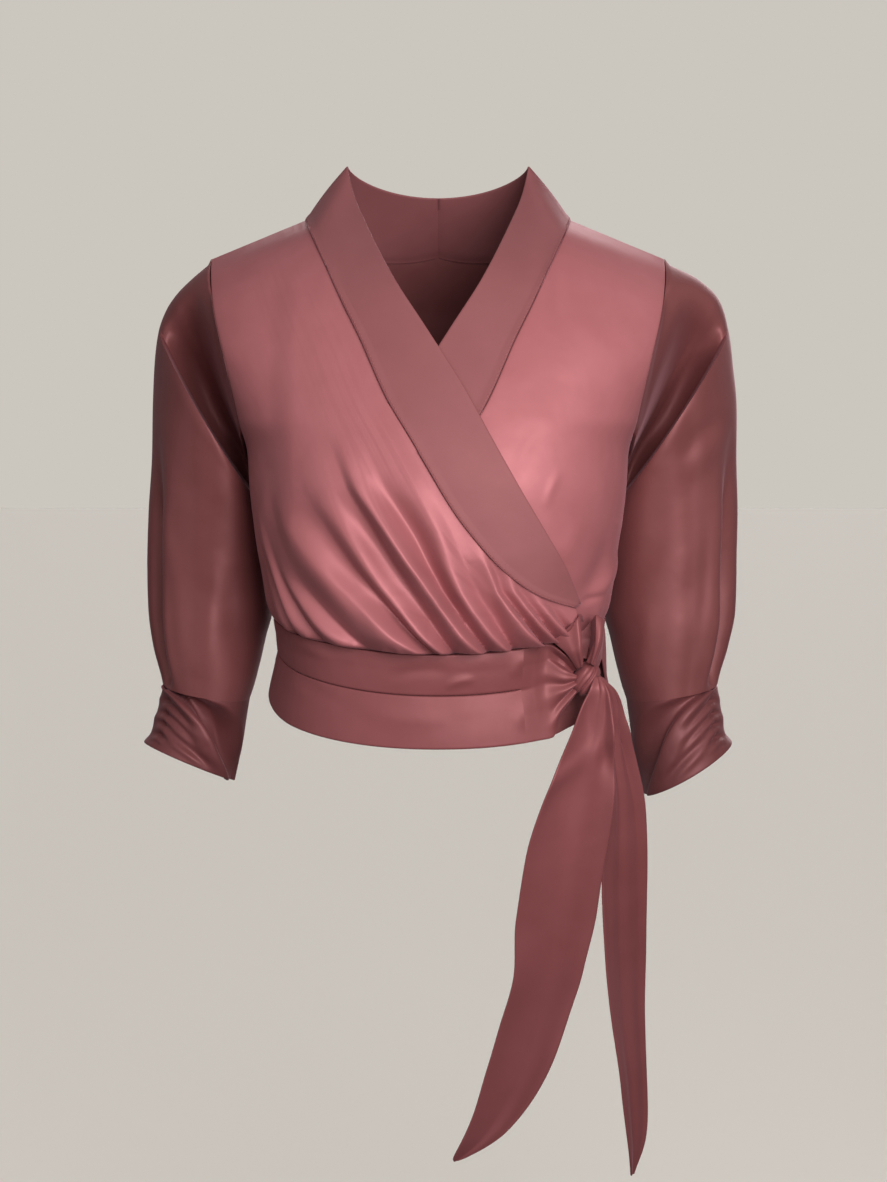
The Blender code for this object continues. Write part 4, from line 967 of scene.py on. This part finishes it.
def cuff_grid(left):
    """A cuff with its ruched seam, its slanting fold and its hem."""
    angle = np.linspace(0, 2 * np.pi, CUFF_POINTS, endpoint=False)
    down = graded(*CUFF_DOWN)
    t = down * (len(CUFF_ROWS) - 1)
    grid, middle, _ = tube_grid(CUFF_ROWS, t, angle, left)
    down = down[:, None]
    if left:
        grid[..., 2] -= LEFT_CUFF_DROP * down * ((1 - np.cos(angle)) / 2)[None, :]
    outward = unit(grid - middle)
    degrees = np.degrees(angle)[None, :]
    from_seam = degrees - RUCHE_ANGLE
    near = hill(from_seam, RUCHE_SPREAD)
    fold = -0.9 * hill(from_seam, 3.5) * np.sin(np.pi * down)
    for place, width, depth in RUCHES:
        slant = down - place - 0.030 * np.abs(from_seam) / RUCHE_SPREAD
        fold = fold - depth * near * hill(slant, width)
        fold = fold + 0.45 * depth * near * hill(slant - 0.09, 0.05)
    opened = np.stack([CUFF_ARC * degrees + 0 * down, 0 * (degrees + down),
                       -CUFF_DOWN[1] * down + 0 * degrees], -1)
    fold = fold + creases(opened, CUFF_CREASES) * (0.75 if left else 1.0)
    lip, hollow = CUFF_FOLD
    line = spline(CUFF_FOLD_DOWN, CUFF_FOLD_ROUND, down)
    beyond = degrees - line
    in_front = (degrees > 0) & (degrees < 190)
    edge = lip * hill(beyond + 12, 15.0)
    pit = hollow * smoothstep(-2.0, 7.0, beyond) * (1 - smoothstep(16.0, 58.0, beyond))
    strength = (0.35 if left else 1.0) * np.sin(np.pi * np.clip(0.20 + 0.72 * down, 0, 1))
    fold = fold + np.where(in_front, (edge - pit) * strength, 0.0)
    flare = CUFF_FLARE * hill(degrees - 360.0 * (degrees > 180.0), 40.0)
    fold = fold + flare * smoothstep(0.75, 1.0, down)
    round_it = unit(np.roll(grid, -1, 1) - np.roll(grid, 1, 1))
    under = np.where(in_front, hill(beyond - 6.0, 7.0), 0.0) * strength
    grid = grid + outward * fold[..., None] - round_it * (CUFF_TUCK * under)[..., None]
    if not left:
        tilt = np.where(np.sin(angle) > 0, *CUFF_HEM_TILT) * np.sin(angle)
        grid[..., 2] += down**3 * tilt[None, :]
    return sided(left, grid, outward)


def seam_shows(rows, columns, at_top, at_bottom):
    """How far a sleeve's or a cuff's borders roll in, so that their seam fades inwards."""
    degrees = np.linspace(0, 360, columns, endpoint=False)
    fades = 1 - smoothstep(30.0, 70.0, np.minimum(degrees, 360.0 - degrees))
    shown = np.ones((rows, columns))
    half = rows // 2
    shown[:half] = fades if at_top else 0.6
    shown[half:] = fades if at_bottom else 1.0
    return shown


KNOT_FORM = (123, -79, -388, 10.5, 12, 15.5)  # its middle and its radii
KNOT_LEAN = 28.0         # degrees that the wound cloth leans to the right
KNOT_POINTS = (132, 76)  # points round it and from end to end
# Creases along it: place, half width and depth
KNOT_FOLDS = ((-0.3, 0.12, 0.05), (0.12, 0.1, 0.16), (0.55, 0.12, 0.05))


def knot_grid():
    """The knot: cloth wound from its upper right to its lower left, with creases along it."""
    across, down = KNOT_POINTS
    turn = np.linspace(0, 2 * np.pi, across, endpoint=False)[None, :]
    tilt = np.linspace(-np.pi / 2 + 0.02, np.pi / 2 - 0.02, down)[:, None]
    way = np.stack([np.cos(tilt) * np.sin(turn), -np.cos(tilt) * np.cos(turn),
                    np.sin(tilt) + 0 * turn], -1)
    form = np.ones(way.shape[:2])
    for at, width, depth in KNOT_FOLDS:
        bend = 0.14 * np.sin(2.2 * way[..., 2] + 3 * at)
        form -= depth * hill(way[..., 0] - at - bend, width)
    form += 0.06 * hill(way[..., 2] + 0.75, 0.25)
    point = way * np.array(KNOT_FORM[3:]) * form[..., None]
    lean = math.radians(KNOT_LEAN)
    turned = np.stack([point[..., 0] * math.cos(lean) + point[..., 2] * math.sin(lean),
                       point[..., 1],
                       point[..., 2] * math.cos(lean) - point[..., 0] * math.sin(lean)], -1)
    return turned + np.array(KNOT_FORM[:3]), turned


# Folds along the ties: place across, half width, height, and how far down they run
FRONT_TIE_FOLDS = (
    (0.38, 0.16, -6.5, 0.2),
    (0.72, 0.22, 3.5, 0.34),
)
BACK_TIE_FOLDS = (
    (-0.55, 0.16, -4.4, 0.42),
    (-0.12, 0.16, 4, 0.5),
    (0.3, 0.13, -3.6, 0.62),
    (0.66, 0.12, 3, 0.95),
)
# Soft bends across the ties: place down, width, height and slant
FRONT_TIE_WAVES = ((0.2, 0.05, 4.2, 0.1), (0.27, 0.035, -3.4, -0.06), (0.36, 0.06, 2.4, 0.08),
                   (0.5, 0.09, -2.6, 0.1), (0.66, 0.1, 2.4, -0.06), (0.84, 0.07, -1.8, 0.05))
BACK_TIE_WAVES = ((0.19, 0.045, -3, 0.05), (0.27, 0.045, 3.4, -0.06), (0.42, 0.09, -2, 0.06),
                  (0.62, 0.1, 2, 0.08), (0.83, 0.06, -1.6, 0.05))


def tie_grid(rows, folds, waves):
    """A hanging end of the sash, with folds along it and bends across it."""
    table = named(TIE_COLUMNS, rows)
    down = graded(*TIE_DOWN)
    at = down * (len(rows) - 1)
    value = {c: spline(np.arange(len(rows)), table[c], at) for c in TIE_COLUMNS}
    turn = np.radians(value["turn"])
    wide = np.stack([np.cos(turn), np.sin(turn), 0 * turn], -1)
    centre = np.stack([value["x"], value["y"], value["z"]], -1)
    way = unit(np.gradient(centre, axis=0))
    front = unit(np.cross(wide, way))[:, None]
    across = 2 * graded(*TIE_ACROSS)[None, :] - 1
    room = np.minimum(value["half_width"] / 20.0, 1.0)[:, None]
    lift = (0.5 - across**2) * value["cup"][:, None]
    for place, width, tall, reach in folds:
        fade = 1 - smoothstep(0.0, reach, down)[:, None]
        spread = width * (1 + 1.4 * down[:, None])
        bend = place + 0.12 * np.sin(7 * down[:, None] + 5 * place)
        lift += room * tall * (0.25 + 0.75 * fade) * hill(across - bend, spread)
    for place, width, tall, slant in waves:
        beyond = down[:, None] - place - slant * across
        lift += room * tall * hill(beyond, width) * (0.35 + 0.65 * np.abs(across))
    grid = (centre[:, None] + wide[:, None] * (across * value["half_width"][:, None])[..., None]
            + front * lift[..., None])
    grid[..., 2] += across * value["shear"][:, None]
    return grid, np.broadcast_to(front, grid.shape)


# The front sash end: the waistband's last stretch, drawn together into the knot's left side.
# Rows give its bottom, middle and top beside the knot and where they enter it.
JOIN = 29.0              # degrees round the waist where the strips' seam dies out
TAPER_BESIDE = ((102, -84, -419), (103.5, -88, -393), (105, -88, -366.5))
TAPER_KNOT = ((115.5, -82, -400), (114.5, -86, -390), (115, -84, -379))
TAPER_STATIONS = (-0.28, 0, 0.28, 0.52, 0.8, 1)
TAPER_DEGREES = (JOIN - 5, JOIN, 34, 39.5)  # the first four stations, on the waistband
# Creases drawn towards the knot: place up the end at the band and at the knot, half width,
# height, and how far along they start
TAPER_FOLDS = (
    (0.1, 0.16, 0.06, 1.8, 0.3),
    (0.2, 0.28, 0.05, -2, 0.42),
    (0.34, 0.42, 0.07, 2, 0.22),
    (0.45, 0.53, 0.05, -1.8, 0.38),
    (0.58, 0.62, 0.07, 1.8, 0.12),
    (0.7, 0.72, 0.05, 1.4, 0.48),
)
POCKET = (0.8, 0.93, 5.5, 0.5)  # the turned pleat's lower and upper sides, depth and start


def front_end_grid():
    """The front sash end, with how far its borders roll in."""
    along = graded(*FRONT_END_ALONG)
    up = graded(*FRONT_END_UP)
    lines = [waist_line(np.array(TAPER_DEGREES), row) for row in (4, 3, 2, 1, 0)]
    band = [point + normal * (BAND_LIFT + WRAP_LIFT) for point, normal in lines]
    height = np.array([0.0, 0.26, 0.5, 0.75, 1.0])
    ends = [spline((0, 0.5, 1), p, height)[:, None] for p in (TAPER_BESIDE, TAPER_KNOT)]
    stations = np.concatenate([band] + ends, 1)
    path = spline(TAPER_STATIONS, stations.swapaxes(0, 1), along)
    grid = straight(height, path.swapaxes(0, 1), up)
    normal = unit(np.cross(np.gradient(grid, axis=1), np.gradient(grid, axis=0)))
    normal *= np.sign(-normal[..., 1].mean())
    a, u = along[None, :], up[:, None]
    near_band = 1 - smoothstep(0.0, 0.42, a)
    strip = np.where(u < 0.5, u / 0.5, (u - 0.5) / 0.5)
    lift = near_band * (BAND_CROWN * np.sin(np.pi * strip) + BAND_STEP * smoothstep(0.49, 0.51, u))
    for band_place, knot_place, width, tall, start in TAPER_FOLDS:
        middle = band_place + (knot_place - band_place) * a
        lift += tall * smoothstep(start, 0.85, a) * hill(u - middle, width)
    low, high, depth, start = POCKET
    edge = low - 0.05 * a
    pit = smoothstep(edge - 0.012, edge + 0.012, u) * (1 - smoothstep(high - 0.07, high, u))
    lift = lift - depth * pit * smoothstep(start, start + 0.22, a)
    ridge = hill(u - 0.965, 0.035)
    lift = lift + 1.8 * ridge * smoothstep(start - 0.1, start + 0.2, a)
    grid = grid + normal * lift[..., None]
    return grid, normal, smoothstep(0.0, 0.06, a) * np.ones_like(u)


# The back sash end comes round the side, rises behind the knot, turns over and goes down
# into it from above, with a deep hollow between two lobes. Rows run from its lower edge to
# its upper one: place up the end, then x, y and z beside the waist, at the turn and halfway
# down in front, and where it enters the knot.
BACK_END_ROWS = (
    (0, 143, -44, -398, 137, -66, -374, 134.5, -74, -378, 130.5, -82, -384),
    (0.22, 142.5, -46, -376, 138.5, -72, -352, 135, -84, -364, 129.5, -87, -378),
    (0.42, 139, -50, -358, 138.5, -80, -341, 134.5, -95, -358, 128, -92, -376),
    (0.54, 134, -54, -350, 134, -87, -336, 131.5, -99, -356, 126, -95, -375),
    (0.61, 130, -56, -348, 130, -88, -334.5, 129, -98, -356, 124.8, -93, -374),
    (0.635, 129, -57, -347, 127.5, -66, -343, 127.5, -66, -356, 123.4, -72, -373),
    (0.705, 126, -58, -346, 118.5, -66, -343, 119, -66, -357, 121, -72, -373),
    (0.73, 124, -59, -346, 117, -92, -334.5, 118.2, -99, -357, 119.6, -94, -375),
    (0.8, 118, -64, -346, 112.5, -97, -338.5, 115.3, -101, -360, 118, -94, -377),
    (0.9, 108, -74, -348, 104.5, -98, -347, 110, -99.5, -362, 116.3, -92, -378.5),
    (1, 98, -84, -352, 94, -96, -355.5, 104.5, -95.5, -365.5, 114.6, -88, -380),
)
BACK_END_STATIONS = (0, 0.36, 0.6, 0.8, 1)
# Its hollow and a crease: place up the end, half width and height
BACK_END_FOLDS = ((0.38, 0.035, -6), (0.86, 0.06, -1))


def back_end_grid():
    """The back sash end, from the waistband's end over the knot and down into it."""
    rows = np.array(BACK_END_ROWS)
    along = graded(*BACK_END_ALONG)
    up = graded(*BACK_END_UP)
    degrees = np.array([BAND_START + 360.0 - BAND_END_GAP])
    ends = [waist_line(degrees, row) for row in (LOWER_STRIP[-1], LOWER_STRIP[0], 0)]
    first = spline((0, 0.5, 1), [point[0] for point, _ in ends], rows[:, 0])
    first += ends[0][1] * (BAND_LIFT + WRAP_LIFT + BAND_STEP)
    stations = np.concatenate([first[:, None], rows[:, 1:].reshape(-1, 4, 3)], 1)
    path = spline(BACK_END_STATIONS, stations.swapaxes(0, 1), along)
    grid = spline(rows[:, 0], path.swapaxes(0, 1), up)
    normal = unit(np.cross(np.gradient(grid, axis=1), np.gradient(grid, axis=0)))
    normal *= np.sign((normal * (grid - np.array([100.0, -40.0, -370.0]))).sum(-1).mean())
    lift = np.zeros(grid.shape[:2])
    for place, width, tall in BACK_END_FOLDS:
        lift += tall * hill(up - place, width)[:, None]
    return grid + normal * (lift * smoothstep(0.0, 0.4, along)[None, :])[..., None], normal


STITCH = (2.3, 0.42, 1)  # length, thickness and gap of a stitch
STITCH_ROW = 2.3         # how far the collar's row of stitches lies from its seam
STITCH_MARGIN = 3.0      # bare cloth at both ends of the row
STITCH_SIDES = 6
# Rings of points along a stitch: place along it and girth
STITCH_RINGS = ((-0.5, 0.25), (-0.32, 0.9), (0.0, 1.0), (0.32, 0.9), (0.5, 0.25))


def stitches(name, line, normals, material):
    """A row of small stitches along a line of points, joined in one mesh."""
    length, thick, gap = STITCH
    step = np.linalg.norm(np.diff(line, axis=0), axis=1)
    run = np.concatenate([[0.0], np.cumsum(step)])
    at = np.arange(STITCH_MARGIN, run[-1] - STITCH_MARGIN, length + gap)
    centre = np.stack([np.interp(at, run, line[:, axis]) for axis in range(3)], -1)
    ahead = np.stack([np.interp(at + 0.5, run, line[:, axis]) for axis in range(3)], -1)
    up = unit(np.stack([np.interp(at, run, normals[:, axis]) for axis in range(3)], -1))
    way = unit(ahead - centre)
    side = np.cross(up, way)
    rings, sides = STITCH_RINGS, STITCH_SIDES
    turn = 2 * np.pi * np.arange(sides) / sides
    points, faces = [], []
    for k in range(len(at)):
        base = k * len(rings) * sides
        for along, girth in rings:
            sunk = thick * (0.15 if abs(along) < 0.4 else -0.2)
            middle = centre[k] + way[k] * along * length + up[k] * sunk
            for a in turn:
                points.append(middle + (side[k] * np.cos(a) + up[k] * np.sin(a)) * thick * girth)
        for r in range(len(rings) - 1):
            for s in range(sides):
                n = (s + 1) % sides
                a, b = base + r * sides, base + (r + 1) * sides
                faces.append((a + s, a + n, b + n, b + s))
        faces.append(tuple(base + s for s in reversed(range(sides))))
        faces.append(tuple(base + (len(rings) - 1) * sides + s for s in range(sides)))
    mesh = bpy.data.meshes.new(name)
    mesh.from_pydata((np.array(points) * MM).tolist(), [], faces)
    mesh.materials.append(material)
    mesh.shade_smooth()
    obj = placed(name, mesh)
    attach(obj, "root")


def node(tree, kind, **values):
    """A new shader node with its inputs and settings set by name."""
    made = tree.nodes.new("ShaderNode" + kind)
    for name, value in values.items():
        key = name.replace("_", " ").title()
        if key in made.inputs:
            made.inputs[key].default_value = value
        else:
            setattr(made, name, value)
    return made


MIX_A, MIX_B, MIX_OUT = 6, 7, 2  # the colour sockets of a mix node


def link(tree, *runs):
    """Joins sockets. A run names a node and its output, then a node and its input."""
    for source, out, target, into in runs:
        tree.links.new(source.outputs[out], target.inputs[into])


def shading(name):
    """A new material with its node tree and shader."""
    material = bpy.data.materials.new(name)
    material.use_nodes = True
    tree = material.node_tree
    return material, tree, tree.nodes["Principled BSDF"]


def satin(name, light, dark, roughness=0.44, sheen=0.20, weave=0.12, metal=0.14):
    """Woven satin: fine warp threads, soft ripples, and a colour that drifts a little."""
    material, tree, shader = shading(name)
    place = node(tree, "TexCoord")
    uv = node(tree, "UVMap", uv_map="cloth")

    drift = node(tree, "TexNoise", scale=7.0, detail=2.0, roughness=0.45)
    patch = node(tree, "TexNoise", scale=38.0, detail=3.0, roughness=0.5)
    both = node(tree, "Math", operation="MULTIPLY_ADD")
    both.inputs[1].default_value = 0.35
    ramp = node(tree, "ValToRGB")
    for stop, position, colour in zip(ramp.color_ramp.elements, (0.42, 0.92), (dark, light)):
        stop.position = position
        stop.color = (*colour, 1.0)
    link(tree, (place, "Object", drift, "Vector"), (place, "Object", patch, "Vector"),
         (patch, "Fac", both, 0), (drift, "Fac", both, 2), (both, "Value", ramp, "Fac"))

    warp = node(tree, "TexWave", scale=820.0, distortion=0.6, detail=1.0)
    weft = node(tree, "TexWave", scale=330.0, distortion=0.8, detail=1.0, bands_direction="Y")
    grain = node(tree, "TexNoise", scale=900.0, detail=2.0, roughness=0.6)
    threads, speckle = (node(tree, "Mix", data_type="RGBA", factor=share)
                        for share in (0.3, 0.5))
    shade = node(tree, "Mix", data_type="RGBA", blend_type="MULTIPLY", factor=0.16)
    link(tree, (uv, "UV", warp, "Vector"), (uv, "UV", weft, "Vector"), (uv, "UV", grain, "Vector"),
         (warp, "Color", threads, MIX_A), (weft, "Color", threads, MIX_B),
         (threads, MIX_OUT, speckle, MIX_A), (grain, "Fac", speckle, MIX_B),
         (ramp, "Color", shade, MIX_A), (speckle, MIX_OUT, shade, MIX_B),
         (shade, MIX_OUT, shader, "Base Color"))

    slub = node(tree, "TexNoise", scale=60.0, detail=2.0)
    gloss = node(tree, "MapRange", to_min=roughness - 0.02, to_max=roughness + 0.03)
    link(tree, (uv, "UV", slub, "Vector"), (slub, "Fac", gloss, "Value"),
         (gloss, "Result", shader, "Roughness"))

    ripple = node(tree, "TexNoise", scale=34.0, detail=2.0, roughness=0.4)
    soft = node(tree, "Bump", strength=0.30, distance=0.0022)
    fine = node(tree, "Bump", strength=weave, distance=0.0002)
    tangent = node(tree, "Tangent", direction_type="UV_MAP", uv_map="cloth")
    link(tree, (place, "Object", ripple, "Vector"), (ripple, "Fac", soft, "Height"),
         (speckle, MIX_OUT, fine, "Height"), (soft, "Normal", fine, "Normal"),
         (fine, "Normal", shader, "Normal"), (tangent, "Tangent", shader, "Tangent"))
    settings = {"Anisotropic": 0.45, "Metallic": metal, "Specular IOR Level": 0.35,
                "Specular Tint": (1.0, 0.66, 0.70, 1.0), "Sheen Weight": sheen,
                "Sheen Roughness": 0.4, "Sheen Tint": (1.0, 0.52, 0.60, 1.0)}
    for key, value in settings.items():
        shader.inputs[key].default_value = value
    return material


def thread(name, colour):
    """Sewing thread: a twisted, slightly glossy cord."""
    material, tree, shader = shading(name)
    place = node(tree, "TexCoord")
    twist = node(tree, "TexWave", scale=900.0, bands_direction="DIAGONAL")
    ramp = node(tree, "ValToRGB")
    ramp.color_ramp.elements[0].color = (*[0.7 * c for c in colour], 1.0)
    ramp.color_ramp.elements[1].color = (*colour, 1.0)
    bump = node(tree, "Bump", strength=0.3, distance=0.0001)
    link(tree, (place, "Object", twist, "Vector"), (twist, "Color", ramp, "Fac"),
         (twist, "Color", bump, "Height"), (ramp, "Color", shader, "Base Color"),
         (bump, "Normal", shader, "Normal"))
    shader.inputs["Roughness"].default_value = 0.5
    return material


# The photograph's frame and how it was taken
PHOTO_WIDTH, PHOTO_HEIGHT = 887, 1182
MM_PER_PIXEL = 0.87
EYE = (0, -1700, -174)   # the camera, level and square to the garment
EYE_PIXEL = (438, 420)   # where it looks in the photograph
SENSOR = 36.0


def photo_camera():
    """The camera that sees the top as the photograph does."""
    data = bpy.data.cameras.new("camera")
    camera = placed("camera", data)
    camera.location = [v * MM for v in EYE]
    camera.rotation_euler = (math.pi / 2, 0.0, 0.0)
    data.sensor_width = SENSOR
    data.lens = SENSOR * -EYE[1] / (PHOTO_HEIGHT * MM_PER_PIXEL)
    data.shift_x = (PHOTO_WIDTH / 2 - EYE_PIXEL[0]) / PHOTO_HEIGHT
    data.shift_y = -(PHOTO_HEIGHT / 2 - EYE_PIXEL[1]) / PHOTO_HEIGHT
    data.clip_start = 0.05
    data.clip_end = 60.0
    bpy.context.scene.camera = camera


FLOOR_Z = -1380.0
# Soft lamps: strength, degrees to the right of straight ahead, height in degrees, softness
LAMPS = (
    ("high", 0.46, 4, 46, 34, (1, 0.97, 0.95)),
    ("fill", 0.62, -34, 6, 60, (1, 0.97, 0.95)),
    ("side", 0.12, 70, 10, 60, (1, 0.97, 0.96)),
    ("behind", 1.5, 168, 24, 50, (1, 0.98, 0.97)),
)
# The near lamp: its place, where it points, its width in metres, and its power
KEY_PLACE = (0.34, -0.96, -0.11)
KEY_AIM = (0.02, -0.1, -0.18)
KEY_WIDTH = 0.62
KEY_POWER = 10.2
KEY_COLOUR = (1.0, 0.96, 0.95)
BACKDROP = (0.598, 0.565, 0.515)
SKY = (0.3, 0.07)        # soft light from above and from below
SKY_COLOUR = (1.0, 0.97, 0.94)
FLOOR_COLOUR = (0.96, 0.92, 0.86)
FLOOR_SIZE = 50.0        # metres


def studio():
    """The lamps, the backdrop and the floor."""
    for name, strength, right, height, soft, colour in LAMPS:
        data = bpy.data.lights.new(name, "SUN")
        data.energy = strength
        data.angle = math.radians(soft)
        data.color = colour
        turn = (math.radians(90.0 - height), 0.0, math.radians(right))
        placed(name, data).rotation_euler = turn
    near = bpy.data.lights.new("near", "AREA")
    near.shape = "DISK"
    near.size = KEY_WIDTH
    near.energy = KEY_POWER
    near.color = KEY_COLOUR
    lamp = placed("near", near)
    lamp.location = KEY_PLACE
    aim = np.array(KEY_AIM) - np.array(KEY_PLACE)
    lamp.rotation_euler = (math.acos(-aim[2] / np.linalg.norm(aim)), 0.0,
                           math.atan2(-aim[0], aim[1]))
    world = bpy.data.worlds.new("studio")
    bpy.context.scene.world = world
    world.use_nodes = True
    tree = world.node_tree
    shown = tree.nodes["Background"]
    shown.inputs["Color"].default_value = (*BACKDROP, 1.0)
    place = node(tree, "TexCoord")
    parts = node(tree, "SeparateXYZ")
    height = node(tree, "MapRange", from_min=-0.6, to_min=SKY[1], to_max=SKY[0])
    sky = node(tree, "Background", color=(*SKY_COLOUR, 1.0))
    path = node(tree, "LightPath")
    mix = node(tree, "MixShader")
    link(tree, (place, "Generated", parts, "Vector"), (parts, "Z", height, "Value"),
         (height, "Result", sky, "Strength"), (path, "Is Camera Ray", mix, "Fac"),
         (sky, "Background", mix, 1), (shown, "Background", mix, 2),
         (mix, "Shader", tree.nodes["World Output"], "Surface"))

    bpy.ops.mesh.primitive_plane_add(size=FLOOR_SIZE, location=(0.0, 0.0, FLOOR_Z * MM))
    floor = bpy.context.object
    floor.name = "floor"
    material, _, shader = shading("floor")
    shader.inputs["Base Color"].default_value = (*FLOOR_COLOUR, 1.0)
    shader.inputs["Roughness"].default_value = 0.95
    shader.inputs["Specular IOR Level"].default_value = 0.1
    floor.data.materials.append(material)
    floor.visible_diffuse = False
    floor.visible_glossy = False
    bpy.context.scene.view_settings.view_transform = "Standard"


# The cut of each piece as far as it shows: width and length in metres, area in square
# metres, how it is held, and what it hangs from or lies on
CUTS = {
    "front_right_satin": (0.33, 0.41, 0.082, "gathered", ("waistband_satin_upper", "back_satin")),
    "front_left_satin": (0.31, 0.41, 0.074, "gathered", ("waistband_satin_under", "back_satin")),
    "back_satin": (0.46, 0.34, 0.140, "gathered", ("waistband_satin_upper",)),
    "collar_satin_right": (0.60, 0.066, 0.033, "folded", ("front_right_satin", "back_satin")),
    "collar_satin_left": (0.60, 0.066, 0.032, "folded", ("front_left_satin", "back_satin")),
    "sleeve_satin_right": (0.46, 0.40, 0.128, "hung", ("front_right_satin", "back_satin")),
    "sleeve_satin_left": (0.46, 0.40, 0.132, "hung", ("front_left_satin", "back_satin")),
    "cuff_satin_right": (0.29, 0.075, 0.0195, "gathered", ("sleeve_satin_right",)),
    "cuff_satin_left": (0.29, 0.080, 0.0195, "gathered", ("sleeve_satin_left",)),
    "waistband_satin_upper": (0.69, 0.030, 0.0202, "folded", ("waistband_satin_under",)),
    "waistband_satin_lower": (0.70, 0.042, 0.0284, "folded", ("waistband_satin_upper",)),
    "waistband_satin_under": (0.31, 0.078, 0.0238, "folded", ("front_left_satin",)),
    "knot_satin": (0.075, 0.045, 0.0022, "folded", ("sash_end_satin_front",)),
    "sash_end_satin_front": (0.055, 0.078, 0.0037, "gathered", ("waistband_satin_upper",)),
    "sash_end_satin_back": (0.12, 0.125, 0.0090, "gathered", ("waistband_satin_lower",)),
    "tie_satin_front": (0.070, 0.435, 0.0222, "hung", ("knot_satin",)),
    "tie_satin_back": (0.056, 0.430, 0.0185, "hung", ("knot_satin",)),
}


def build():
    """Makes the materials and every piece of the top."""
    photo_camera()
    studio()
    body = satin("body satin", (0.410, 0.142, 0.155), (0.330, 0.104, 0.111))
    # The sleeves' satin is the body satin darkened: painted shade for the shade the sleeves hang
    # in.
    sleeve = satin("sleeve satin painted shade", (0.212, 0.067, 0.068), (0.164, 0.048, 0.048))
    # The cuffs' satin is the same cloth made darker still: painted shade.
    cuff = satin("cuff satin painted shade", (0.165, 0.050, 0.052), (0.128, 0.037, 0.038))
    collar = satin("collar satin", (0.262, 0.090, 0.095), (0.222, 0.072, 0.076), roughness=0.55,
                   sheen=0.25, metal=0.04, weave=0.25)
    # The sash's satin is the body satin darkened: painted shade for the upright band, knot and
    # ties.
    sash = satin("sash satin painted shade", (0.240, 0.073, 0.078), (0.190, 0.053, 0.055))
    lining = satin("satin wrong side", (0.20, 0.060, 0.062), (0.16, 0.047, 0.048),
                   roughness=0.62, sheen=0.05, metal=0.05)
    sewing = thread("sewing thread", (0.34, 0.105, 0.112))

    for panel, (grid, way) in (("front_right", front_grid(True)),
                               ("front_left", front_grid(False)), ("back", back_grid())):
        cloth(panel + "_satin", panel, grid, CLOTH, (body, lining), way)
    for side, over in (("right", True), ("left", False)):
        grid, way = collar_grid(over)
        cloth("collar_satin_" + side, "collar_" + side, grid, FOLDED_CLOTH, (collar,), way)
        from_seam = lengths(grid, 0)
        row = int(np.argmin(np.abs(from_seam.mean(1) - STITCH_ROW)))
        stitches("collar_stitches_" + side, grid[row], way[row], sewing)
        grid, way = sleeve_grid(not over)
        cloth("sleeve_satin_" + side, "sleeve_" + side, grid, CLOTH, (sleeve, lining), way,
              ring=True, rolled=seam_shows(*grid.shape[:2], False, True))
        grid, way = cuff_grid(not over)
        cloth("cuff_satin_" + side, "cuff_" + side, grid, FOLDED_CLOTH, (cuff, lining), way,
              ring=True, rolled=seam_shows(*grid.shape[:2], True, False))
    degrees = np.linspace(BAND_START, JOIN, BAND_POINTS)
    lift = band_lift(degrees)
    keep = 1 - smoothstep(JOIN - 2.0, JOIN, degrees)[None, :]
    for name, rows, step, folds in (("upper", UPPER_STRIP, BAND_STEP, UPPER_CREASES),
                                    ("lower", LOWER_STRIP, 0.0, LOWER_CREASES)):
        grid, way = band_grid(degrees, rows, lift + step, folds, graded(*STRIP_DOWN))
        cloth("waistband_satin_" + name, "waistband_" + name, grid, FOLDED_CLOTH, (sash,), way,
              rolled=keep)
    degrees = np.linspace(*UNDERBAND, UNDERBAND_POINTS)
    sunk = UNDERBAND_LIFT - UNDERBAND_SUNK * smoothstep(*UNDERBAND_SINKS, degrees)
    grid, way = band_grid(degrees, UNDER_STRIP, sunk, (), graded(*UNDERBAND_DOWN))
    # The underband shows the darker wrong-side satin on every face: painted shade for the shadowed
    # strip beside the knot.
    cloth("waistband_satin_under", "waistband_under", grid, FOLDED_CLOTH, (lining,), way)
    grid, way = knot_grid()
    cloth("knot_satin", "knot", grid, FOLDED_CLOTH, (sash,), way, ring=True, rolled=0.0)
    grid, way, keep = front_end_grid()
    cloth("sash_end_satin_front", "fan_front", grid, FOLDED_CLOTH, (sash,), way, rolled=keep)
    grid, way = back_end_grid()
    cloth("sash_end_satin_back", "fan_back", grid, SASH_END_CLOTH, (sash,), way)
    for end, tables in (("front", (FRONT_TIE_ROWS, FRONT_TIE_FOLDS, FRONT_TIE_WAVES)),
                        ("back", (BACK_TIE_ROWS, BACK_TIE_FOLDS, BACK_TIE_WAVES))):
        grid, way = tie_grid(*tables)
        cloth("tie_satin_" + end, "tie_" + end, grid, FOLDED_CLOTH, (sash,), way)
    for name, (wide, long, area, held, rests_on) in CUTS.items():
        side = name.rsplit("_", 1)[1]


build()
